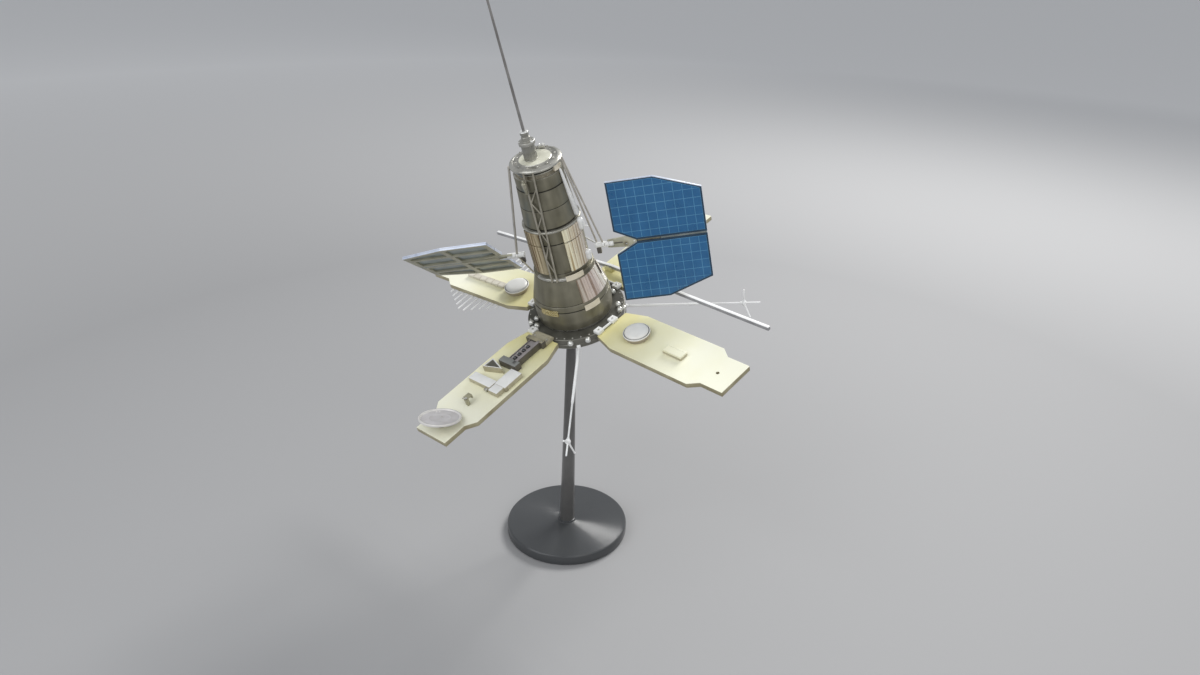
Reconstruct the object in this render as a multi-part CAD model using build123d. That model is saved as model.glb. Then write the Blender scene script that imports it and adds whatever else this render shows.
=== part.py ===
from build123d import *
from math import cos, radians, sin, tan
import os

# A desk model of an earth-observation satellite on a round black stand, in millimetres.
# The origin is the middle of the stand's underside, +Z is up, +X is to the viewer's right and -Y is
# towards the viewer. The satellite has its own frame: its axis leans left and forward, and "level" is
# the distance along that axis above the top faces of its four petals.

# Stand
disc_radius = 80.0
disc_thickness = 14.0
disc_edge_round = 4.0
foot_collar_radius = 11.5
foot_collar_height = 2.5
pole_foot_radius = 9.75
pole_top_radius = 5.25
pole_lean = 0.9

# Where the satellite sits on its pole
hub_x = 9.8
hub_height = 324.7
lean_left = 12.7
lean_forward = 13.0

# Clearances: flat faces touch, curved ones keep a small gap
curved_gap = 0.15
pin_clearance = 0.06

# Hub ring and the body of revolution above it: levels and radii
hub_radius = 59.5
hub_thickness = 14.0
hub_edge_chamfer = 1.5
ball_radius = 3.5
skirt_foot_radius = 43.5
skirt_flare_radius = 45.5
skirt_flare_level = 6.0
skirt_wide_radius = 46.2
skirt_wide_level = 14.0
skirt_seam_radius = 45.5
skirt_seam_level = 29.0
skirt_top_radius = 35.2
belt_level = 65.2
belt_height = 3.8
belt_radius = 35.5
belt_edge_round = 1.2
middle_radius = 32.0
middle_seam_level = 113.5
lip_radius = 33.5
lip_level = 128.5
middle_top_level = 131.0
upper_foot_level = 133.5
upper_foot_radius = 30.9
upper_top_radius = 27.8
upper_top_level = 177.0
upper_groove_radius = 30.0
band_radius = 27.3
band_top_level = 192.5
groove_radius = 25.0
cap_level = 201.0
cap_rim_level = 203.3
cap_top_level = 205.5
cap_radius = 29.0
cap_top_radius = 26.5
seam_depth = 0.6
seam_width = 1.5

# Mast foot on the cap and the long boom
boom_x = -3.6
boom_y = -2.0
drum_radius = 7.3
drum_height = 17.5
flange_radius = 9.0
flange_height = 4.0
collar_radius = 4.7
collar_height = 11.0
boom_radius = 1.6
boom_tip_radius = 1.0
boom_length = 205.0

# Sheets and plates that lie on the body
louvre_wall = 2.25
skirt_louvre_wall = 1.2
plate_wall = 0.9
ridge_wall = 2.8

# Petals, measured from the satellite's axis
petal_root = 59.8
petal_root_half_width = 24.4
petal_wide_from = 87.6
petal_half_width = 32.7
petal_wide_to = 199.5
petal_notch_to = 211.3
petal_tip_half_width = 23.8
petal_tip = 239.9
petal_thickness = 6.0
petal_hole_radius = 2.0
petal_hole_at = 217.5
back_petals_shorter = 5.3
# name, azimuth about the satellite's axis
petal_azimuths = {"front_right": -46.0, "front_left": -132.4, "back_left": 138.7, "back_right": 44.6}

# Solar panels: two halves each side of an arm, with a notch that takes the bracket plate
arm_level = 86.1
arm_yaw = -6.5
panel_turn_right = 78.4
panel_turn_left = 45.6
joint_from = 41.5
joint_to = 52.4
joint_block_radius = 3.6
motor_from = 42.5
motor_to = 47.5
motor_half_width = 2.4
motor_drop = 10.5
arm_pin_radius = 1.6
sleeve_radius = 3.2
sleeve_from = 53.0
sleeve_to = 62.5
panel_inner = 64.8
panel_break = 117.8
panel_outer = 168.9
panel_half_width = 72.0
panel_outer_half_width = 53.4
notch_half_width = 14.1
notch_tip = 89.5
panel_slit = 1.5
cell_thickness = 1.2
frame_depth = 2.4
frame_rail = 6.0
bracket_root_half_width = 4.6
bracket_neck_half_width = 5.8
bracket_neck_to = 72.0
bracket_flare_to = 79.5
bracket_hole_radius = 1.7
bracket_hole_at = 77.0
spine_half_width = 3.0
spine_thickness = 1.2

# Struts, rods and antennas
strut_radius = 1.1
thick_strut_radius = 1.4
thin_rod_radius = 0.8
brace_radius = 0.9
bar_right_length = 240.0
bar_left_length = 204.5
bar_bend_at = 14.0
bar_bend = 5.3
bar_width = 4.0
bar_height = 4.5
bar_distance = 79.8
bar_azimuth = 43.6
bar_low = 4.0
mast_droop = 5.0
mast_length = 139.0
mast_sheath_length = 84.0
mast_sheath_radius = 1.7
mast_radius = 1.1
mast_knot_radius = 3.2
mast_arm_length = 19.0
mast_foot_half_length = 2.2
mast_foot_radius = 2.4
comb_level = -9.0
comb_rod_radius = 1.25
comb_spine_half_width = 1.6
comb_first = 108.0
comb_pitch = 9.29
comb_count = 10
comb_mid_half_length = 61.5
comb_end_half_length = 36.6


def level_cylinder(radius, low, high):
    return Pos(0, 0, low) * Cylinder(radius, high - low, align=(Align.CENTER, Align.CENTER, Align.MIN))


def rod(start, end, radius, end_radius=None):
    """A round rod between two points, tapered where an end radius is given."""
    line = Vector(*end) - Vector(*start)
    place = Plane(origin=start, z_dir=line).location
    stand_on = (Align.CENTER, Align.CENTER, Align.MIN)
    if end_radius is None:
        return place * Cylinder(radius, line.length, align=stand_on)
    return place * Cone(radius, end_radius, line.length, align=stand_on)


def block(low, high):
    """A box from its lowest to its highest corner."""
    size = [b - a for a, b in zip(low, high)]
    return Pos(*[(a + b) / 2 for a, b in zip(low, high)]) * Box(*size)


def turned(profile):
    """A solid of revolution from (radius, level) points, closed along the axis."""
    points = [(0, profile[0][1])] + list(profile) + [(0, profile[-1][1])]
    face = make_face(Polyline(*[(r, 0, z) for r, z in points], close=True))
    return revolve(face, Axis.Z)


def plate(outline, low, thickness):
    """A flat plate from its outline in X and Y."""
    return Pos(0, 0, low) * extrude(make_face(Polyline(*outline, close=True)), thickness)


def sector(profile, first_azimuth, last_azimuth):
    """A closed (radius, level) profile turned from one azimuth to another."""
    face = make_face(Polyline(*[(r, 0, z) for r, z in profile], close=True))
    return Rot(0, 0, first_azimuth) * revolve(face, Axis.Z, last_azimuth - first_azimuth)


def shell_sector(inner_profile, wall, first_azimuth, last_azimuth):
    """A sheet that lies on a turned surface, between two azimuths."""
    outer = [(r + wall, z) for r, z in reversed(inner_profile)]
    return sector(list(inner_profile) + outer, first_azimuth, last_azimuth)


def at_azimuth(azimuth, radius, level):
    """A point in the satellite's frame from its azimuth, radius and level."""
    return (radius * cos(radians(azimuth)), radius * sin(radians(azimuth)), level)


satellite_place = Pos(hub_x, 0, hub_height) * Rot(0, -lean_left, 0) * Rot(lean_forward, 0, 0)
parts = {}


def add(name, shape):
    """Keeps a piece that was drawn in the satellite's frame."""
    parts[name] = satellite_place * shape


def on_petal(name):
    return Rot(0, 0, petal_azimuths[name])


def mirrored_outline(points):
    return points + [(x, -y) for x, y in reversed(points)]


# Stand: the disc, and a tapered pole that runs up to the flat underside of the hub ring
disc = level_cylinder(disc_radius, 0, disc_thickness)
disc = fillet(disc.edges().sort_by(Axis.Z)[-1], disc_edge_round)
disc += level_cylinder(foot_collar_radius, disc_thickness, disc_thickness + foot_collar_height)
parts["base_disc"] = disc
pole_top = hub_height
taper = (pole_foot_radius - pole_top_radius) / (pole_top - disc_thickness)
pole_foot = (0, 0, disc_thickness + foot_collar_height)
pole = rod(pole_foot, (tan(radians(pole_lean)) * pole_top, 0, pole_top), pole_foot_radius, pole_top_radius)
pole = pole - parts["base_disc"]
above_hub = satellite_place * block((-120, -120, -hub_thickness), (120, 120, 120))
parts["pole"] = pole - above_hub

# Hub ring, with small round bottles at its edge and on its top between the petals
hub = level_cylinder(hub_radius, -hub_thickness, 0)
add("hub_ring", chamfer(hub.edges().sort_by(Axis.Z)[0], hub_edge_chamfer))
# azimuth, radius, level of each bottle's middle
ball_table = [
    (-97.7, 61.0, -3.5), (-78.4, 61.0, -3.5), (78.4, 61.0, -3.5), (97.7, 61.0, -3.5),
    (-12.0, 52.5, 3.2), (-22.0, 57.0, 2.8), (-15.0, 59.5, -0.5), (19.0, 49.0, 3.2),
    (-168.0, 48.5, 3.2), (-164.0, 56.5, 3.0), (-154.0, 52.5, 2.6),
]
balls = []
for azimuth, radius, level in ball_table:
    ball = Pos(*at_azimuth(azimuth, radius, level)) * Sphere(ball_radius)
    balls.append(ball - level_cylinder(hub_radius + curved_gap, -hub_thickness, 0))
add("hub_bottles", Compound(children=balls))

# Ladder trusses front and back: two rails that come closer together downwards, from the cap to the belt
# top end, lower end of the right-hand and the left-hand rail
rail_table = [
    ((-2.2, -29.3, cap_level + 2.0), (-7.5, -35.5, belt_level + 1.5)),
    ((-12.5, -26.6, cap_level + 2.0), (-13.3, -33.8, belt_level + 1.5)),
]
# where the zigzag meets the rails, as shares of their length, starting on the right-hand rail
zigzag_stations = [0.14, 0.26, 0.37, 0.49, 0.63, 0.78, 0.92]
zigzag_points = []
for i, share in enumerate(zigzag_stations):
    top, foot = rail_table[i % 2]
    zigzag_points.append(Vector(*top) + (Vector(*foot) - Vector(*top)) * share)


def truss(gap):
    """The front truss, or with a gap the room that it needs."""
    shape = rod(*rail_table[0], strut_radius + gap) + rod(*rail_table[1], strut_radius + gap)
    for near, far in zip(zigzag_points, zigzag_points[1:]):
        shape += rod(near, far, thin_rod_radius + gap)
    return shape


front_truss = truss(0)
truss_room = truss(curved_gap)
back_turn = Rot(0, 0, 180)

# Body of revolution: skirt, belt ring, middle, upper body and cap
skirt_profile = [
    (skirt_foot_radius, 0),
    (skirt_flare_radius, skirt_flare_level),
    (skirt_wide_radius, skirt_wide_level),
    (skirt_seam_radius, skirt_seam_level - seam_width),
    (skirt_seam_radius - seam_depth, skirt_seam_level - seam_width),
    (skirt_seam_radius - seam_depth, skirt_seam_level),
    (skirt_seam_radius, skirt_seam_level),
    (skirt_top_radius, belt_level),
]
add("lower_body", turned(skirt_profile))
belt_top = belt_level + belt_height
belt = fillet(level_cylinder(belt_radius, belt_level, belt_top).edges(), belt_edge_round)
add("belt_ring", belt - level_cylinder(middle_radius + curved_gap, belt_level, belt_top))
middle_profile = [
    (middle_radius, belt_level),
    (middle_radius, middle_seam_level - seam_width),
    (middle_radius - seam_depth, middle_seam_level - seam_width),
    (middle_radius - seam_depth, middle_seam_level),
    (middle_radius, middle_seam_level),
    (middle_radius, lip_level),
    (lip_radius, lip_level),
    (lip_radius, middle_top_level),
]
add("middle_body", turned(middle_profile) - truss_room - back_turn * truss_room)
upper_profile = [
    (upper_groove_radius, middle_top_level),
    (upper_groove_radius, upper_foot_level),
    (upper_foot_radius, upper_foot_level),
    (upper_top_radius, upper_top_level),
    (upper_top_radius - seam_depth, upper_top_level),
    (upper_top_radius - seam_depth, upper_top_level + seam_width),
    (band_radius, upper_top_level + seam_width),
    (band_radius, band_top_level),
    (groove_radius, band_top_level),
    (groove_radius, cap_level),
]
add("upper_body", turned(upper_profile))
cap_profile = [(cap_radius, cap_level), (cap_radius, cap_rim_level), (cap_top_radius, cap_top_level)]
add("top_cap", turned(cap_profile))

# The body's outlines with a small gap, to fit round what lies on them
cap_hull = level_cylinder(cap_radius + curved_gap, cap_level - 1, cap_top_level + 1)
belt_hull = level_cylinder(belt_radius + curved_gap, belt_level - 1, belt_top + 1)
upper_cone = [(upper_foot_radius, upper_foot_level - 1), (upper_top_radius, cap_level)]
upper_hull = turned([(radius + curved_gap, level) for radius, level in upper_cone])
louvre_radius = middle_radius + curved_gap + louvre_wall
louvre_hull = level_cylinder(louvre_radius + curved_gap, belt_level, middle_top_level + curved_gap)
add("truss_front", front_truss - cap_hull - belt_hull)
add("truss_back", back_turn * front_truss - cap_hull - belt_hull)

# Mast foot on the cap: drum, flange and collar, with the boom standing in the collar
flange_level = cap_top_level + drum_height
collar_level = flange_level + flange_height
collar_top = collar_level + collar_height
mast_foot = level_cylinder(drum_radius, cap_top_level, flange_level)
mast_foot += level_cylinder(flange_radius, flange_level, collar_level)
mast_foot += level_cylinder(collar_radius, collar_level, collar_top)
boom_place = Pos(boom_x, boom_y, 0)
add("boom_foot", boom_place * mast_foot)
boom_rod = rod((0, 0, collar_top), (0, 0, collar_top + boom_length), boom_radius, boom_tip_radius)
boom_rod += Pos(0, 0, collar_top + boom_length) * Sphere(boom_tip_radius)
add("boom", boom_place * boom_rod)
# low corner, high corner of the two small instruments at the cap's back
cap_boxes = [
    ((4, 17.5, cap_top_level), (11, 23.5, cap_top_level + 4.5)),
    ((-2, 19, cap_top_level), (2, 23, cap_top_level + 2.5)),
]
add("cap_instruments", Compound(children=[block(low, high) for low, high in cap_boxes]))

# Louvred radiators: two sections on each side of the middle body, and one on the skirt
louvre_foot = middle_radius + curved_gap
louvre_low = 75.0
louvre_high = lip_level - curved_gap
louvre_seam_radius = louvre_foot + louvre_wall / 2
louvre_profile = [
    (louvre_foot, louvre_low),
    (louvre_radius, louvre_low),
    (louvre_radius, middle_seam_level - seam_width),
    (louvre_seam_radius, middle_seam_level - seam_width),
    (louvre_seam_radius, middle_seam_level),
    (louvre_radius, middle_seam_level),
    (louvre_radius, louvre_high),
    (louvre_foot, louvre_high),
]
# side, first azimuth, last azimuth
for side, first, last in (("left", -157.0, -115.5), ("right", -70.5, -22.0)):
    add(f"middle_louvre_{side}", sector(louvre_profile, first, last))


def skirt_radius_at(level):
    share = (level - skirt_seam_level) / (belt_level - skirt_seam_level)
    return skirt_seam_radius + share * (skirt_top_radius - skirt_seam_radius)


skirt_louvre_low = 36.0
skirt_louvre_high = 63.0
skirt_louvre_levels = (skirt_louvre_low, skirt_louvre_high)
skirt_sheet = [(skirt_radius_at(level) + curved_gap, level) for level in skirt_louvre_levels]
skirt_louvre = shell_sector(skirt_sheet, skirt_louvre_wall, -69.0, 4.0)
add("skirt_louvre", skirt_louvre)
# inner radius, wall, low level, high level, first azimuth, last azimuth
plate_table = [
    (belt_radius + curved_gap, plate_wall, belt_level, 72.0, -85.0, -50.0),
    (skirt_seam_radius + 2 * curved_gap, plate_wall, 25.4, 32.5, -69.0, -43.0),
    (groove_radius + curved_gap, ridge_wall, band_top_level + 2.0, cap_level, -44.0, -22.0),
]
plates = []
for radius, wall, low, high, first, last in plate_table:
    plates.append(shell_sector([(radius, low), (radius, high)], wall, first, last))
add("edge_plates", Compound(children=plates))
foil_radius = skirt_seam_radius + 2 * curved_gap
foil_low = 24.5
foil_high = 32.0
foil_sheet = [(foil_radius, foil_low), (foil_radius, foil_high)]
add("foil_patch", shell_sector(foil_sheet, plate_wall, -139.0, -109.5))

# Pale pieces down the body's right side: a tapered channel on the upper body, and two pods below it
channel_top = at_azimuth(-29.5, 28.6, band_top_level + 1.0)
channel_foot = at_azimuth(-20.0, 32.0, 136.5)
channel_top_radius = 1.4
channel_foot_radius = 3.4
channel = rod(channel_top, channel_foot, channel_top_radius, channel_foot_radius)
channel += Pos(*channel_foot) * Sphere(channel_foot_radius)
add("side_channel", channel - upper_hull)
pod_azimuth = -25.0
pod_radius = 4.5
pod_out = 35.0
pods = []
# low level, high level of each pod's straight part
for low, high in ((121.0, 128.0), (80.0, 85.5)):
    pod = rod((pod_out, 0, low), (pod_out, 0, high), pod_radius)
    pod += Pos(pod_out, 0, low) * Sphere(pod_radius)
    pod += Pos(pod_out, 0, high) * Sphere(pod_radius)
    pods.append(pod)
spike_level = 121.5
spike_length = 9.0
pods[0] += rod((pod_out, 0, spike_level), (pod_out + spike_length, 0, spike_level), brace_radius)
add("side_pods", Rot(0, 0, pod_azimuth) * Compound(children=[pod - louvre_hull for pod in pods]))

# Horn bracket on the front truss's left-hand rail
horn_azimuth = -115.3
horn_low = 179.0
horn_high = 193.0
horn_inner = 31.2
horn_outer = 34.2
horn_half_width = 2.2
horn_tip_radius = 1.5
horn_tip_rise = 4.0
horn = block((horn_inner, -horn_half_width, horn_low), (horn_outer, horn_half_width, horn_high))
horn_tip = (horn_outer, 0, horn_high + horn_tip_rise)
horn += rod((horn_outer - horn_tip_radius, 0, horn_high - 1), horn_tip, horn_tip_radius)
add("front_horn", Rot(0, 0, horn_azimuth) * horn - truss_room)

# Arm joints: a fixed round block with a pin on each side, held by struts from the cap
arm_place = Pos(0, 0, arm_level) * Rot(0, 0, arm_yaw)
joint_hulls = {}
for side, spin in (("right", 0), ("left", 180)):
    place = arm_place * Rot(0, 0, spin)
    fixed = rod((joint_from, 0, 0), (joint_to, 0, 0), joint_block_radius)
    fixed += rod((joint_to, 0, 0), (sleeve_to - 1, 0, 0), arm_pin_radius)
    fixed += block((motor_from, -motor_half_width, -motor_drop), (motor_to, motor_half_width, 0))
    add(f"arm_joint_{side}", place * fixed)
    hull = rod((joint_from, 0, 0), (joint_to, 0, 0), joint_block_radius + curved_gap)
    motor_low = (motor_from - curved_gap, -motor_half_width - curved_gap, -motor_drop - curved_gap)
    hull += block(motor_low, (motor_to + curved_gap, motor_half_width + curved_gap, 0))
    joint_hulls[side] = place * hull
# side, start beside the cap, end at the arm joint, radius
strut_table = [
    ("right", (27.8, -9.1, cap_rim_level), (43.6, -3.4, arm_level + 3.0), strut_radius),
    ("right", (28.3, -6.0, cap_rim_level), (50.2, -6.0, arm_level + 3.0), strut_radius),
    ("left", (-28.8, -5.3, cap_rim_level), (-50.0, 4.4, arm_level + 3.0), thick_strut_radius),
]
for side in ("right", "left"):
    struts = [rod(start, end, radius) for key, start, end, radius in strut_table if key == side]
    add(f"struts_{side}", Compound(children=[strut - cap_hull - joint_hulls[side] for strut in struts]))
arm_rod_level = arm_level + 2
arm_rod_ends = ((43.6, -4.9, arm_rod_level), (26.5, 18.3, arm_rod_level))
middle_hull = level_cylinder(middle_radius + curved_gap, belt_level, middle_top_level)
add("arm_rod_right", rod(*arm_rod_ends, brace_radius) - joint_hulls["right"] - middle_hull)
left_brace_ends = ((-49.5, 5.3, arm_level - 2.5), (-35.2, -7.2, belt_level + 2))
add("brace_left", rod(*left_brace_ends, brace_radius) - belt_hull - joint_hulls["left"])
right_brace_ends = ((36.6, -5.0, belt_level + 0.5), (41.2, -8.0, belt_level - 15.2))
add("brace_right", rod(*right_brace_ends, brace_radius) - belt_hull - skirt_louvre)

# Solar panels in their own frame: X outward along the arm, Z the side with the cells
half_outline = [
    (panel_inner, notch_half_width), (panel_inner, panel_half_width), (panel_break, panel_half_width),
    (panel_outer, panel_outer_half_width), (panel_outer, panel_slit), (notch_tip, panel_slit),
]


def inner_offset(rail):
    """The half's outline drawn in by a rail's width, without the notch."""
    return [
        (panel_inner + rail, notch_half_width + rail), (panel_inner + rail, panel_half_width - rail),
        (panel_break, panel_half_width - rail), (panel_outer - rail, panel_outer_half_width - 0.6 * rail),
        (panel_outer - rail, panel_slit + rail), (notch_tip + rail, panel_slit + rail),
    ]


def panel_frame():
    """Back frame of one half: a rim, a cross rail at the break and one long rail, with open slots."""
    rim = plate(half_outline, -frame_depth, frame_depth)
    rim -= plate(inner_offset(frame_rail), -frame_depth - 1, frame_depth + 2)
    half_rail = frame_rail / 2
    cross_low = (panel_break - half_rail, panel_slit + 1, -frame_depth)
    cross = block(cross_low, (panel_break + half_rail, panel_half_width - 1, 0))
    middle_y = (panel_half_width + panel_slit) / 2
    long_low = (panel_inner + 1, middle_y - half_rail, -frame_depth)
    long_rail = block(long_low, (panel_outer - 1, middle_y + half_rail, 0))
    return rim + cross + long_rail


def both_halves(shape):
    return Compound(children=[shape, mirror(shape, Plane.XZ)])


def notch_half_width_at(out):
    share = (notch_tip - out) / (notch_tip - panel_inner)
    return panel_slit + share * (notch_half_width - panel_slit)


# Bracket: a narrow bar from the sleeve that widens to fit the notch, and a spine along the back
bracket_outline = mirrored_outline([
    (sleeve_from + 3, bracket_root_half_width), (bracket_neck_to, bracket_neck_half_width),
    (bracket_flare_to, notch_half_width_at(bracket_flare_to)), (notch_tip, panel_slit),
])
spine_outline = mirrored_outline([(bracket_neck_to, spine_half_width), (panel_break, spine_half_width)])
pin_axis = -frame_depth / 2
bracket = plate(bracket_outline, -frame_depth, frame_depth)
bracket += plate(spine_outline, -frame_depth - spine_thickness, spine_thickness)
bracket += rod((sleeve_from, 0, pin_axis), (sleeve_to, 0, pin_axis), sleeve_radius)
bracket -= rod((sleeve_from - 1, 0, pin_axis), (sleeve_to, 0, pin_axis), arm_pin_radius + pin_clearance)
bracket -= Pos(bracket_hole_at, 0, -frame_depth) * Cylinder(bracket_hole_radius, 3 * frame_depth)
cells = plate(half_outline, 0, cell_thickness)
for side, spin, turn in (("right", 0, panel_turn_right), ("left", 180, panel_turn_left)):
    place = arm_place * Rot(0, 0, spin) * Rot(turn, 0, 0) * Pos(0, 0, -pin_axis)
    add(f"panel_bracket_{side}", place * bracket)
    add(f"panel_frame_{side}", place * both_halves(panel_frame()))
    add(f"panel_cells_{side}", place * both_halves(cells))

# Petals
petal_sheets = {}
for name in petal_azimuths:
    shorter = back_petals_shorter if name.startswith("back") else 0
    outline = mirrored_outline([
        (petal_root, petal_root_half_width),
        (petal_wide_from, petal_half_width),
        (petal_wide_to - shorter, petal_half_width),
        (petal_notch_to - shorter, petal_tip_half_width),
        (petal_tip - shorter, petal_tip_half_width),
    ])
    sheet = plate(outline, -petal_thickness, petal_thickness)
    petal_sheets[name] = sheet
    if name == "front_right":
        sheet -= Pos(petal_hole_at, -1.9, 0) * Cylinder(petal_hole_radius, 3 * petal_thickness)
    add(f"petal_{name}", on_petal(name) * sheet)

# Root blocks that hold each petal to the hub ring, with a bar between two of them
root_block_half_width = 4.75
root_block_height = 4.0
root_bar_radius = 1.4
# petal, where its blocks stand across the petal
root_table = {
    "front_right": (-18.2, 5.6),
    "front_left": (-18.2,),
    "back_left": (-16.0, 16.0),
    "back_right": (-16.0, 16.0),
}
root_block_from = 52.5
root_block_to = 61.5
root_bar_at = 58.8
root_solids = []
for name, places in root_table.items():
    shape = None
    for across in places:
        low = (root_block_from, across - root_block_half_width, 0)
        one = block(low, (root_block_to, across + root_block_half_width, root_block_height))
        shape = one if shape is None else shape + one
    if len(places) == 2:
        bar_ends = [(root_bar_at, across, root_block_height / 2) for across in places]
        shape += rod(*bar_ends, root_bar_radius)
    root_solids.append(on_petal(name) * shape)
add("root_blocks", Compound(children=root_solids))

# Instruments on the petals, each drawn with X outward and Y across its petal
puck_places = {"front_right": (101.9, -1.0), "back_left": (96.4, 2.6)}
# radius, level
puck_profile = [(13.5, 0), (13.5, 4), (15.8, 4), (15.8, 7.5), (15.4, 7.5), (9.0, 10.1)]
for name, (out, across) in puck_places.items():
    puck = turned(puck_profile)
    add(f"puck_{name}", on_petal(name) * Pos(out, across, 0) * puck)
# node, its petal, then the low corner and high corner of each of its blocks
box_table = [
    ("hinge_plate", "front_left", [((56.5, -11, 0), (70, 16, 5))]),
    ("cream_box", "front_right", [((146, -8, 0), (172, 3.5, 5))]),
    ("ladder_box", "back_left", [((115.5, 1.2, 0), (183, 9.2, 3.5))]),
    ("camera_box", "front_left", [
        ((73, -4, 0), (118, 12, 9)),
        ((70, -10, 0), (76, 16, 9)),
        ((112, -11, 0), (121, 16, 9)),
    ]),
    ("stepped_box", "front_left", [
        ((146, -24, 0), (158, 11, 6)),
        ((122.5, 11, 0), (150, 28, 6)),
        ((150, 12, 0), (161.5, 26, 6)),
    ]),
    ("hook_bracket", "front_left", [
        ((183.5, 1, 0), (187.5, 5.5, 10)),
        ((177.5, -1.5, 8), (187.5, 5.5, 10)),
        ((177.5, -1.5, 5), (179.5, 5.5, 8)),
    ]),
]
for name, petal, corners in box_table:
    shape = block(*corners[0])
    for low, high in corners[1:]:
        shape += block(low, high)
    add(name, on_petal(petal) * shape)
triangle_corners = [(121, -20), (137, -21.4), (129, 3.4)]
triangle_height = 8.0
add("triangle_box", on_petal("front_left") * plate(triangle_corners, 0, triangle_height))
dish_out = 222.0
dish_rise = 8.3
dish_radius = 23.2
dish_rim = 2.6
dish_height = 3.0
dish_floor = 1.4
dish_lean_back = 7.5
dish_post_radius = 4.0
dish = level_cylinder(dish_radius, 0, dish_height)
dish -= level_cylinder(dish_radius - dish_rim, dish_floor, dish_height + 1)
dish_spot = (on_petal("front_left") * Pos(dish_out, 0, dish_rise)).position
post = on_petal("front_left") * Pos(dish_out, 0, 0) * level_cylinder(dish_post_radius, 0, dish_rise)
dish_turn = Rot(-lean_forward, 0, 0) * Rot(0, lean_left, 0) * Rot(-dish_lean_back, 0, 0)
level_dish = Pos(*dish_spot) * dish_turn * dish
add("round_dish", level_dish + post - on_petal("front_left") * petal_sheets["front_left"])

# Long bar antenna across the back right petal: two arms that meet in a slight bend inside a clamp
bar_top = bar_low + bar_height
bar_half_width = bar_width / 2
right_arm = block((-bar_half_width, -bar_right_length, bar_low), (bar_half_width, 0, bar_top))
left_arm = block((-bar_half_width, 0, bar_low), (bar_half_width, bar_left_length, bar_top))
bar = right_arm + Rot(0, 0, bar_bend) * left_arm
bar_place = Rot(0, 0, bar_azimuth) * Pos(bar_distance, bar_bend_at, 0)
add("bar_antenna", bar_place * bar)
clamp_wall = 2.4
clamp_height = 6.5
clamp_before = 2.5
clamp_after = 9.6
clamp_low = (-bar_half_width - clamp_wall, -clamp_before, 0)
clamp = block(clamp_low, (bar_half_width + clamp_wall, clamp_after, clamp_height))
add("bar_clamp", bar_place * (clamp - bar))

# Two masts that droop from the hub's edge, each with a knot and three short arms at right angles
mast_root = hub_radius + 1.0
# name, azimuth and level of the root, azimuth of the rod, side arms' directions (along, across, up)
mast_table = (
    ("right", -1, -9, -8, ((0, 0, 1), (0.35, -0.75, -0.55))),
    ("front", -90, -11, -97, ((0.6, 0, 0.8), (0.05, 0.17, -0.98))),
)
for name, root_azimuth, level, azimuth, arms in mast_table:
    mast = rod((0, 0, 0), (mast_sheath_length, 0, 0), mast_sheath_radius)
    mast += rod((mast_sheath_length, 0, 0), (mast_length + mast_arm_length, 0, 0), mast_radius)
    mast += Pos(mast_length, 0, 0) * Rot(0, 90, 0) * Sphere(mast_knot_radius)
    knot = Vector(mast_length, 0, 0)
    for arm in arms:
        mast += rod(knot, knot + Vector(*arm).normalized() * mast_arm_length, mast_radius)
    mast += rod((-1, -mast_foot_half_length, 0), (-1, mast_foot_half_length, 0), mast_foot_radius)
    swing = Rot(0, 0, azimuth - root_azimuth) * Rot(0, mast_droop, 0)
    placed = Rot(0, 0, root_azimuth) * Pos(mast_root, 0, level) * swing * mast
    add(f"mast_{name}", placed - level_cylinder(hub_radius + curved_gap, -hub_thickness, 0))

# Comb antenna under the back left petal: a spine and rods that are longest in the middle
comb_last = comb_first + comb_pitch * (comb_count - 1)
spine_top = -petal_thickness
comb_low = (comb_first - 3, -comb_spine_half_width, comb_level - comb_rod_radius)
comb = block(comb_low, (comb_last + 3, comb_spine_half_width, spine_top))
for i in range(comb_count):
    from_middle = abs(2 * i / (comb_count - 1) - 1)
    half = comb_mid_half_length - (comb_mid_half_length - comb_end_half_length) * from_middle
    out = comb_first + i * comb_pitch
    comb += rod((out, -half, comb_level), (out, half, comb_level), comb_rod_radius)
add("comb_antenna", on_petal("back_left") * comb)

os.makedirs("parts", exist_ok=True)
for name, shape in parts.items():
    export_step(shape, f"parts/{name}.step")
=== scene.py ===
import math
import random
import bmesh
import bpy
from mathutils import Matrix, Vector
from mathutils.geometry import intersect_point_line


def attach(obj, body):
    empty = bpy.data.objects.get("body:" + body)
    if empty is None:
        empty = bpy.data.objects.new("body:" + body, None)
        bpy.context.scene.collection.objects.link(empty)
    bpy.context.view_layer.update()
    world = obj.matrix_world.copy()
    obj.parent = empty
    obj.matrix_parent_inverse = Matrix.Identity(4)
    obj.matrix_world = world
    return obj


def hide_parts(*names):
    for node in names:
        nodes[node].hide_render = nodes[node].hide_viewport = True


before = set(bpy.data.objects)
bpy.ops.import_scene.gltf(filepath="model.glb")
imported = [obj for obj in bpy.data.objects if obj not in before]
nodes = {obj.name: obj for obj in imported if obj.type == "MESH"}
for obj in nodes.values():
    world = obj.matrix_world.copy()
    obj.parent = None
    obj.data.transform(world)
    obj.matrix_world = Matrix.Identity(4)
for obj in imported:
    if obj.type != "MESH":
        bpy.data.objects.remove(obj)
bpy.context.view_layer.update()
random.seed(4)

# The satellite leans on its pole: its pieces are drawn upright in millimetres and then put in place
satellite = {"hubX": 9.8, "hubHeight": 324.7, "leanLeft": 12.7, "leanForward": 13.0}
petalTurns = {"front_right": -46.0, "front_left": -132.4, "back_left": 138.7, "back_right": 44.6}
toMetres = Matrix.Scale(0.001, 4)
upright = Matrix.Identity(4)


def turn(degrees, axis="Z"):
    return Matrix.Rotation(math.radians(degrees), 4, axis)


def shift(x, y=0.0, z=0.0):
    return Matrix.Translation((x, y, z))


def polar(azimuth, radius, level=0.0):
    angle = math.radians(azimuth)
    return Vector((radius * math.cos(angle), radius * math.sin(angle), level))


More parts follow.
